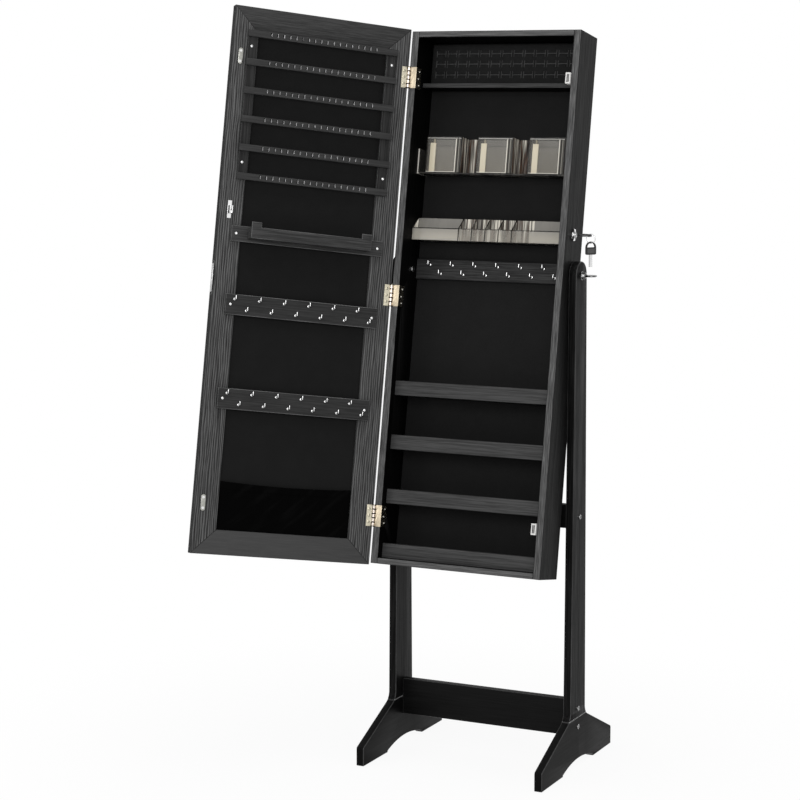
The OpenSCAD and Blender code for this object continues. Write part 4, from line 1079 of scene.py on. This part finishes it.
def keen(edge):
    return sharper(edge, 50)


def key_head(name):
    half, corner, sunk, inset = HEAD_W / 2, 0.003, 0.0003, 0.0035
    head = outline_plate(
        name,
        arc(corner, -half + corner, corner, 180, 270, 5)
        + arc(HEAD_L - half, 0, half, -90, 90, 24)
        + arc(corner, half - corner, corner, 90, 180, 5),
        HEAD_T,
    )
    moon_x, moon_r = HEAD_L - 0.0114, 0.0088
    cut_away(head, outline_plate("moon", arc(moon_x, 0, moon_r, -90, 90, 20), HEAD_T * 2))
    ease(head, 0.0005, likes=keen)
    painted(head, black_plastic, key_panel_grey)
    for face in (-HEAD_T / 2, HEAD_T / 2):
        lo, hi = (corner, inset - half, face - sunk), (moon_x - 0.0025, half - inset, face + sunk)
        panel = block("panel", lo, hi)
        painted(panel, key_panel_grey)
        cut_away(head, panel)
    smooth(head, 40)
    return head


def key_blade(name):
    side, flat, past = BLADE_W / 2, BLADE_T / 2, 0.001
    blade = block(name, (-BLADE_L, -side, -flat), (0.0004, side, flat))
    for i in range(4):
        x, deep = 0.004 * (i + 1) - BLADE_L, 0.0006 + 0.0003 * (i % 2)
        cut_away(blade, block("notch", (x, side - deep, -BLADE_T), (x + 0.002, BLADE_W, BLADE_T)))
    for face in (-flat, flat):
        lo, hi = (-BLADE_L - past, -0.0011, face - 0.0004), (0, 0.0003, face + 0.0004)
        cut_away(blade, block("groove", lo, hi))
    ease(blade, 0.0001, 1, keen)
    painted(blade, blade_nickel)
    return blade


low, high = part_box("spare_key")
spare_place = (
    Matrix.Translation(((low[0] + high[0]) / 2, (low[1] + high[1]) / 2, high[2]))
    @ Matrix.Rotation(math.radians(-35), 4, "Z")
    @ Matrix.Rotation(math.radians(-90), 4, "Y")
    @ Matrix.Translation((-HEAD_L, 0, 0))
)
for label, place, body, node in (
    ("lock", cabinet_place @ Matrix.Translation(LOCK), "key_in_lock", "lock_key"),
    ("spare", spare_place, "hanging_key", "spare_key"),
):
    head = settle(key_head(label + "_key_head"), place)
    blade = settle(key_blade(label + "_key_blade"), place)
    hand_over(head, body, [node])
    hand_over(blade, body, [node])

# ---- Ring pad: velvet foam with rows of slits ----

PAD_X, PAD_FRONT, PAD_Z = 0.1687, 0.0647, (0.9803, 1.0677)
SLIT_ROWS = (1.003, 1.025, 1.046)
SLIT_COUNT, SLIT_PITCH, SLIT_HALF, TICK_HALF = 13, 0.0244, 0.0097, 0.0062


def to_slit(x, z):
    """Distance from a point of the pad's front to the nearest slit."""
    row = min(SLIT_ROWS, key=lambda r: abs(z - r))
    number = min(max(round(x / SLIT_PITCH + (SLIT_COUNT - 1) / 2), 0), SLIT_COUNT - 1)
    dx = x - (number - (SLIT_COUNT - 1) / 2) * SLIT_PITCH
    dz = z - row
    along = math.hypot(max(abs(dx) - SLIT_HALF, 0), dz)
    tick = math.hypot(abs(abs(dx) - SLIT_HALF), max(abs(dz) - TICK_HALF, 0))
    return min(along, tick)


def ring_cushion():
    """The pad's face, rolled back at the rim and pressed in at the slits. It is an open shell whose
    faces point back: the extruded rim stays where it is, and no side or back closes it."""
    only()
    bpy.ops.mesh.primitive_grid_add(
        x_subdivisions=337,
        y_subdivisions=87,
        size=1,
        location=(0, PAD_FRONT, sum(PAD_Z) / 2),
        rotation=(math.radians(90), 0, 0),
    )
    ob = bpy.context.object
    ob.name = "ring_cushion"
    ob.scale = (2 * PAD_X, PAD_Z[1] - PAD_Z[0], 1)
    bpy.ops.object.transform_apply()
    slit = ob.data.attributes.new("slit", "FLOAT", "POINT")
    for vertex, mark in zip(ob.data.vertices, slit.data):
        p = vertex.co
        rim = min(PAD_X - abs(p.x), p.z - PAD_Z[0], PAD_Z[1] - p.z)
        fall = max(0.0, 1 - rim / 0.007)
        away = to_slit(p.x, p.z)
        deep = math.exp(-((away / 0.0011) ** 2))
        lips = math.exp(-(((away - 0.003) / 0.002) ** 2))
        swell = 0.0012 * (1 - min(1.0, abs(p.x) / PAD_X) ** 4)
        mark.value = math.exp(-((away / 0.0009) ** 2))
        rolled = 0.006 * (1 - math.sqrt(max(0.0, 1 - fall**2)))
        p.y = PAD_FRONT + 0.0016 + rolled + 0.0024 * deep - 0.0005 * lips - swell
    pick(ob, edges=lambda e: e.is_boundary)
    bpy.ops.mesh.extrude_region_move()
    bpy.ops.mesh.select_all(action="SELECT")
    bpy.ops.mesh.normals_make_consistent()
    done()
    smooth(ob, 60)
    return settle(ob, cabinet_place)


def slit_velvet_paint():
    """Velvet, paler along the slits."""
    material, tree, shader = blank("ring_pad_pile", Roughness=0.95, Specular_IOR_Level=0.0)
    point = placed_point(tree, "cabinet")
    pile = noise(tree, point, 1300, 3, 0.7)
    nap = noise(tree, scaled(tree, point, (1, 1, 0.6)), 60, 3, 0.6)
    ground = ramp(tree, pile, (0.35, tone(0x1E)), (0.65, tone(0x28)))
    ground = mixed(tree, span(tree, nap, 0.4, 0.7, 0, 0.4), ground, tone(0x2A))
    edge = add(tree, "ShaderNodeAttribute", attribute_name="slit").outputs["Fac"]
    wire(tree, shader, Base_Color=mixed(tree, span(tree, edge, 0.1, 0.8), ground, tone(0x4C)))
    bump(tree, shader, pile, 0.0004, 0.5)
    return material


cushion = ring_cushion()
painted(cushion, slit_velvet_paint())
hand_over(cushion, "cabinet", ["ring_pad"])

# ---- Pocket: gathered cloth under an elastic band ----

POUCH_U, POUCH_Z = (0.0496, 0.3204), (0.0461, 0.1414)
BAND_H, PANEL_Y = 0.014, -0.005


def pocket_depth(s, t):
    """How far the cloth stands off the panel's face, at its shares of the width and height."""
    round_in = (max(0.0, 1 - (2 * s - 1) ** 6)) ** 0.5
    belly = 0.0046 * round_in * math.sin(math.pi * min(1.0, 0.06 + t * 0.62)) ** 0.6
    gather = 0.00045 * math.sin(s * 92 + 1.5 * math.sin(s * 17)) * t**2
    waves = math.sin((s * 7.5 + t * 1.7) * math.pi * 2 + 1.1 * math.sin(s * 9))
    drag = 0.0006 * waves * t * (1 - 0.4 * t)
    counter = 0.0005 * math.sin((s * 6.1 - t * 1.4) * math.pi * 2) * t
    return max(0.0007, 0.0008 + belly + round_in * (gather + drag + counter))


def pocket_top(s):
    """The elastic dips between its sewn ends."""
    return 0.0002 + 0.0042 * (1 - (2 * s - 1) ** 2)


def pocket_strip(name, z_lo, z_hi, rows, lift, thickness):
    only()
    bpy.ops.mesh.primitive_grid_add(x_subdivisions=280, y_subdivisions=rows, size=1)
    ob = bpy.context.object
    ob.name = name
    for vertex in ob.data.vertices:
        s = vertex.co.x + 0.5
        z = z_lo + (vertex.co.y + 0.5) * (z_hi - z_lo)
        t = (z - POUCH_Z[0]) / (POUCH_Z[1] - POUCH_Z[0])
        y = PANEL_Y + pocket_depth(s, t) + lift * (max(0.0, 1 - (2 * s - 1) ** 8)) ** 0.5
        u = POUCH_U[0] + s * (POUCH_U[1] - POUCH_U[0])
        vertex.co = (u, y, z - pocket_top(s) * t**2)
    pick(ob, faces=lambda f: True)
    bpy.ops.mesh.normals_make_consistent()
    bpy.ops.mesh.flip_normals()
    done()
    solid = ob.modifiers.new("cloth", "SOLIDIFY")
    solid.thickness = thickness
    solid.offset = 0
    bake_modifiers(ob)
    smooth(ob, 60)
    painted(settle(ob, door_place), pouch_cloth)
    return hand_over(ob, "door", ["pouch"])


pocket = pocket_strip("pocket_cloth", *POUCH_Z, 70, 0.0, 0.0006)
band = pocket_strip("pocket_elastic", POUCH_Z[1] - BAND_H, POUCH_Z[1] + 0.0004, 12, 0.0007, 0.0009)

# ---- Clear tray, eased ----

TRAY_END = -0.16
eased("clear_tray", 0.8, smallest=SMALL_PART)
repainted(
    "clear_tray_eased",
    "cabinet",
    clear_rims,
    (clear_lip_highlight, lambda c, n: n.z > 0.95 and c.z > 0.7),
    (tray_cream_reflection, lambda c, n: abs(n.x) > 0.95 and c.x < TRAY_END),
    (tray_side, lambda c, n: abs(n.x) > 0.95 and c.x > TRAY_END),
    (tray_back, lambda c, n: abs(n.y) > 0.95 and c.y > TRAY_FRONT + 0.01),
)

# ---- Room: pale floor, white surround, soft lamps ----


def ray_kinds(tree):
    """Rays straight from the camera, and rays by way of mirrors and clear pieces."""
    path = add(tree, "ShaderNodeLightPath").outputs
    sent_on = reckon(tree, "MAXIMUM", path["Is Glossy Ray"], path["Is Transmission Ray"])
    return path["Is Camera Ray"], sent_on


only()
bpy.ops.mesh.primitive_plane_add(size=14, location=(0, 0, 0))
floor = bpy.context.object
floor.name = "studio_floor"
floor_paint, tree, shader = blank("floor_paint", Roughness=0.9, Specular_IOR_Level=0.0)
shader.inputs["Base Color"].default_value = (0.86, 0.86, 0.86, 1)
spot = add(tree, "ShaderNodeTexCoord").outputs["Object"]
away = add(tree, "ShaderNodeVectorMath", {0: spot}, operation="LENGTH").outputs["Value"]
open_floor = span(tree, away, 0.3, 1.2, 0.92, 1.0)
straight, sent_on = ray_kinds(tree)
seen = reckon(tree, "MAXIMUM", sent_on, times(tree, straight, open_floor))
glow = add(tree, "ShaderNodeEmission", {"Color": (1, 1, 1, 1), "Strength": 1.0})
lit = add(tree, "ShaderNodeMixShader", {0: seen, 1: shader.outputs[0], 2: glow.outputs[0]})
tree.links.new(lit.outputs[0], tree.nodes["Material Output"].inputs[0])
painted(floor, floor_paint)

world = bpy.data.worlds.new("studio_surround")
bpy.context.scene.world = world
world.use_nodes = True
tree = world.node_tree
tree.nodes.clear()
shown = reckon(tree, "MAXIMUM", *ray_kinds(tree))
white = add(tree, "ShaderNodeBackground", {"Color": (1, 1, 1, 1), "Strength": 1.0})
soft = add(tree, "ShaderNodeBackground", {"Color": (1, 1, 1, 1), "Strength": 0.55})
surround = add(tree, "ShaderNodeMixShader", {0: shown, 1: soft.outputs[0], 2: white.outputs[0]})
tree.links.new(surround.outputs[0], add(tree, "ShaderNodeOutputWorld").inputs[0])


def lamp(name, where, aim, size, power):
    only()
    bpy.ops.object.light_add(type="AREA", location=where)
    light = bpy.context.object
    light.name = name
    light.data.shape = "DISK"
    light.data.size = size
    light.data.energy = power
    light.rotation_euler = (Vector(aim) - Vector(where)).to_track_quat("-Z", "Y").to_euler()


lamp("key_softbox", (1.6, -4.6, 2.6), (0, 0, 0.8), 2.4, 75)
lamp("fill_softbox", (-2.6, -3.4, 2.2), (0, 0, 0.8), 2.2, 20)
lamp("top_softbox", (0.4, -0.6, 4.2), (0, 0, 0.6), 2.4, 40)

# ---- Camera ----

only()
bpy.ops.object.camera_add(
    location=(PIVOT.x + 1.8349, PIVOT.y - 4.1572, 1.3639),
    rotation=(math.radians(83.6267), 0, math.radians(26.0367)),
)
camera = bpy.context.object
camera.name = "studio_camera"
camera.data.sensor_width = 36
camera.data.lens = 102.051
camera.data.shift_y = -0.075
camera.data.clip_end = 60
camera.data.dof.use_dof = False
bpy.context.scene.camera = camera
bpy.context.scene.view_settings.view_transform = "Standard"

bpy.context.view_layer.update()
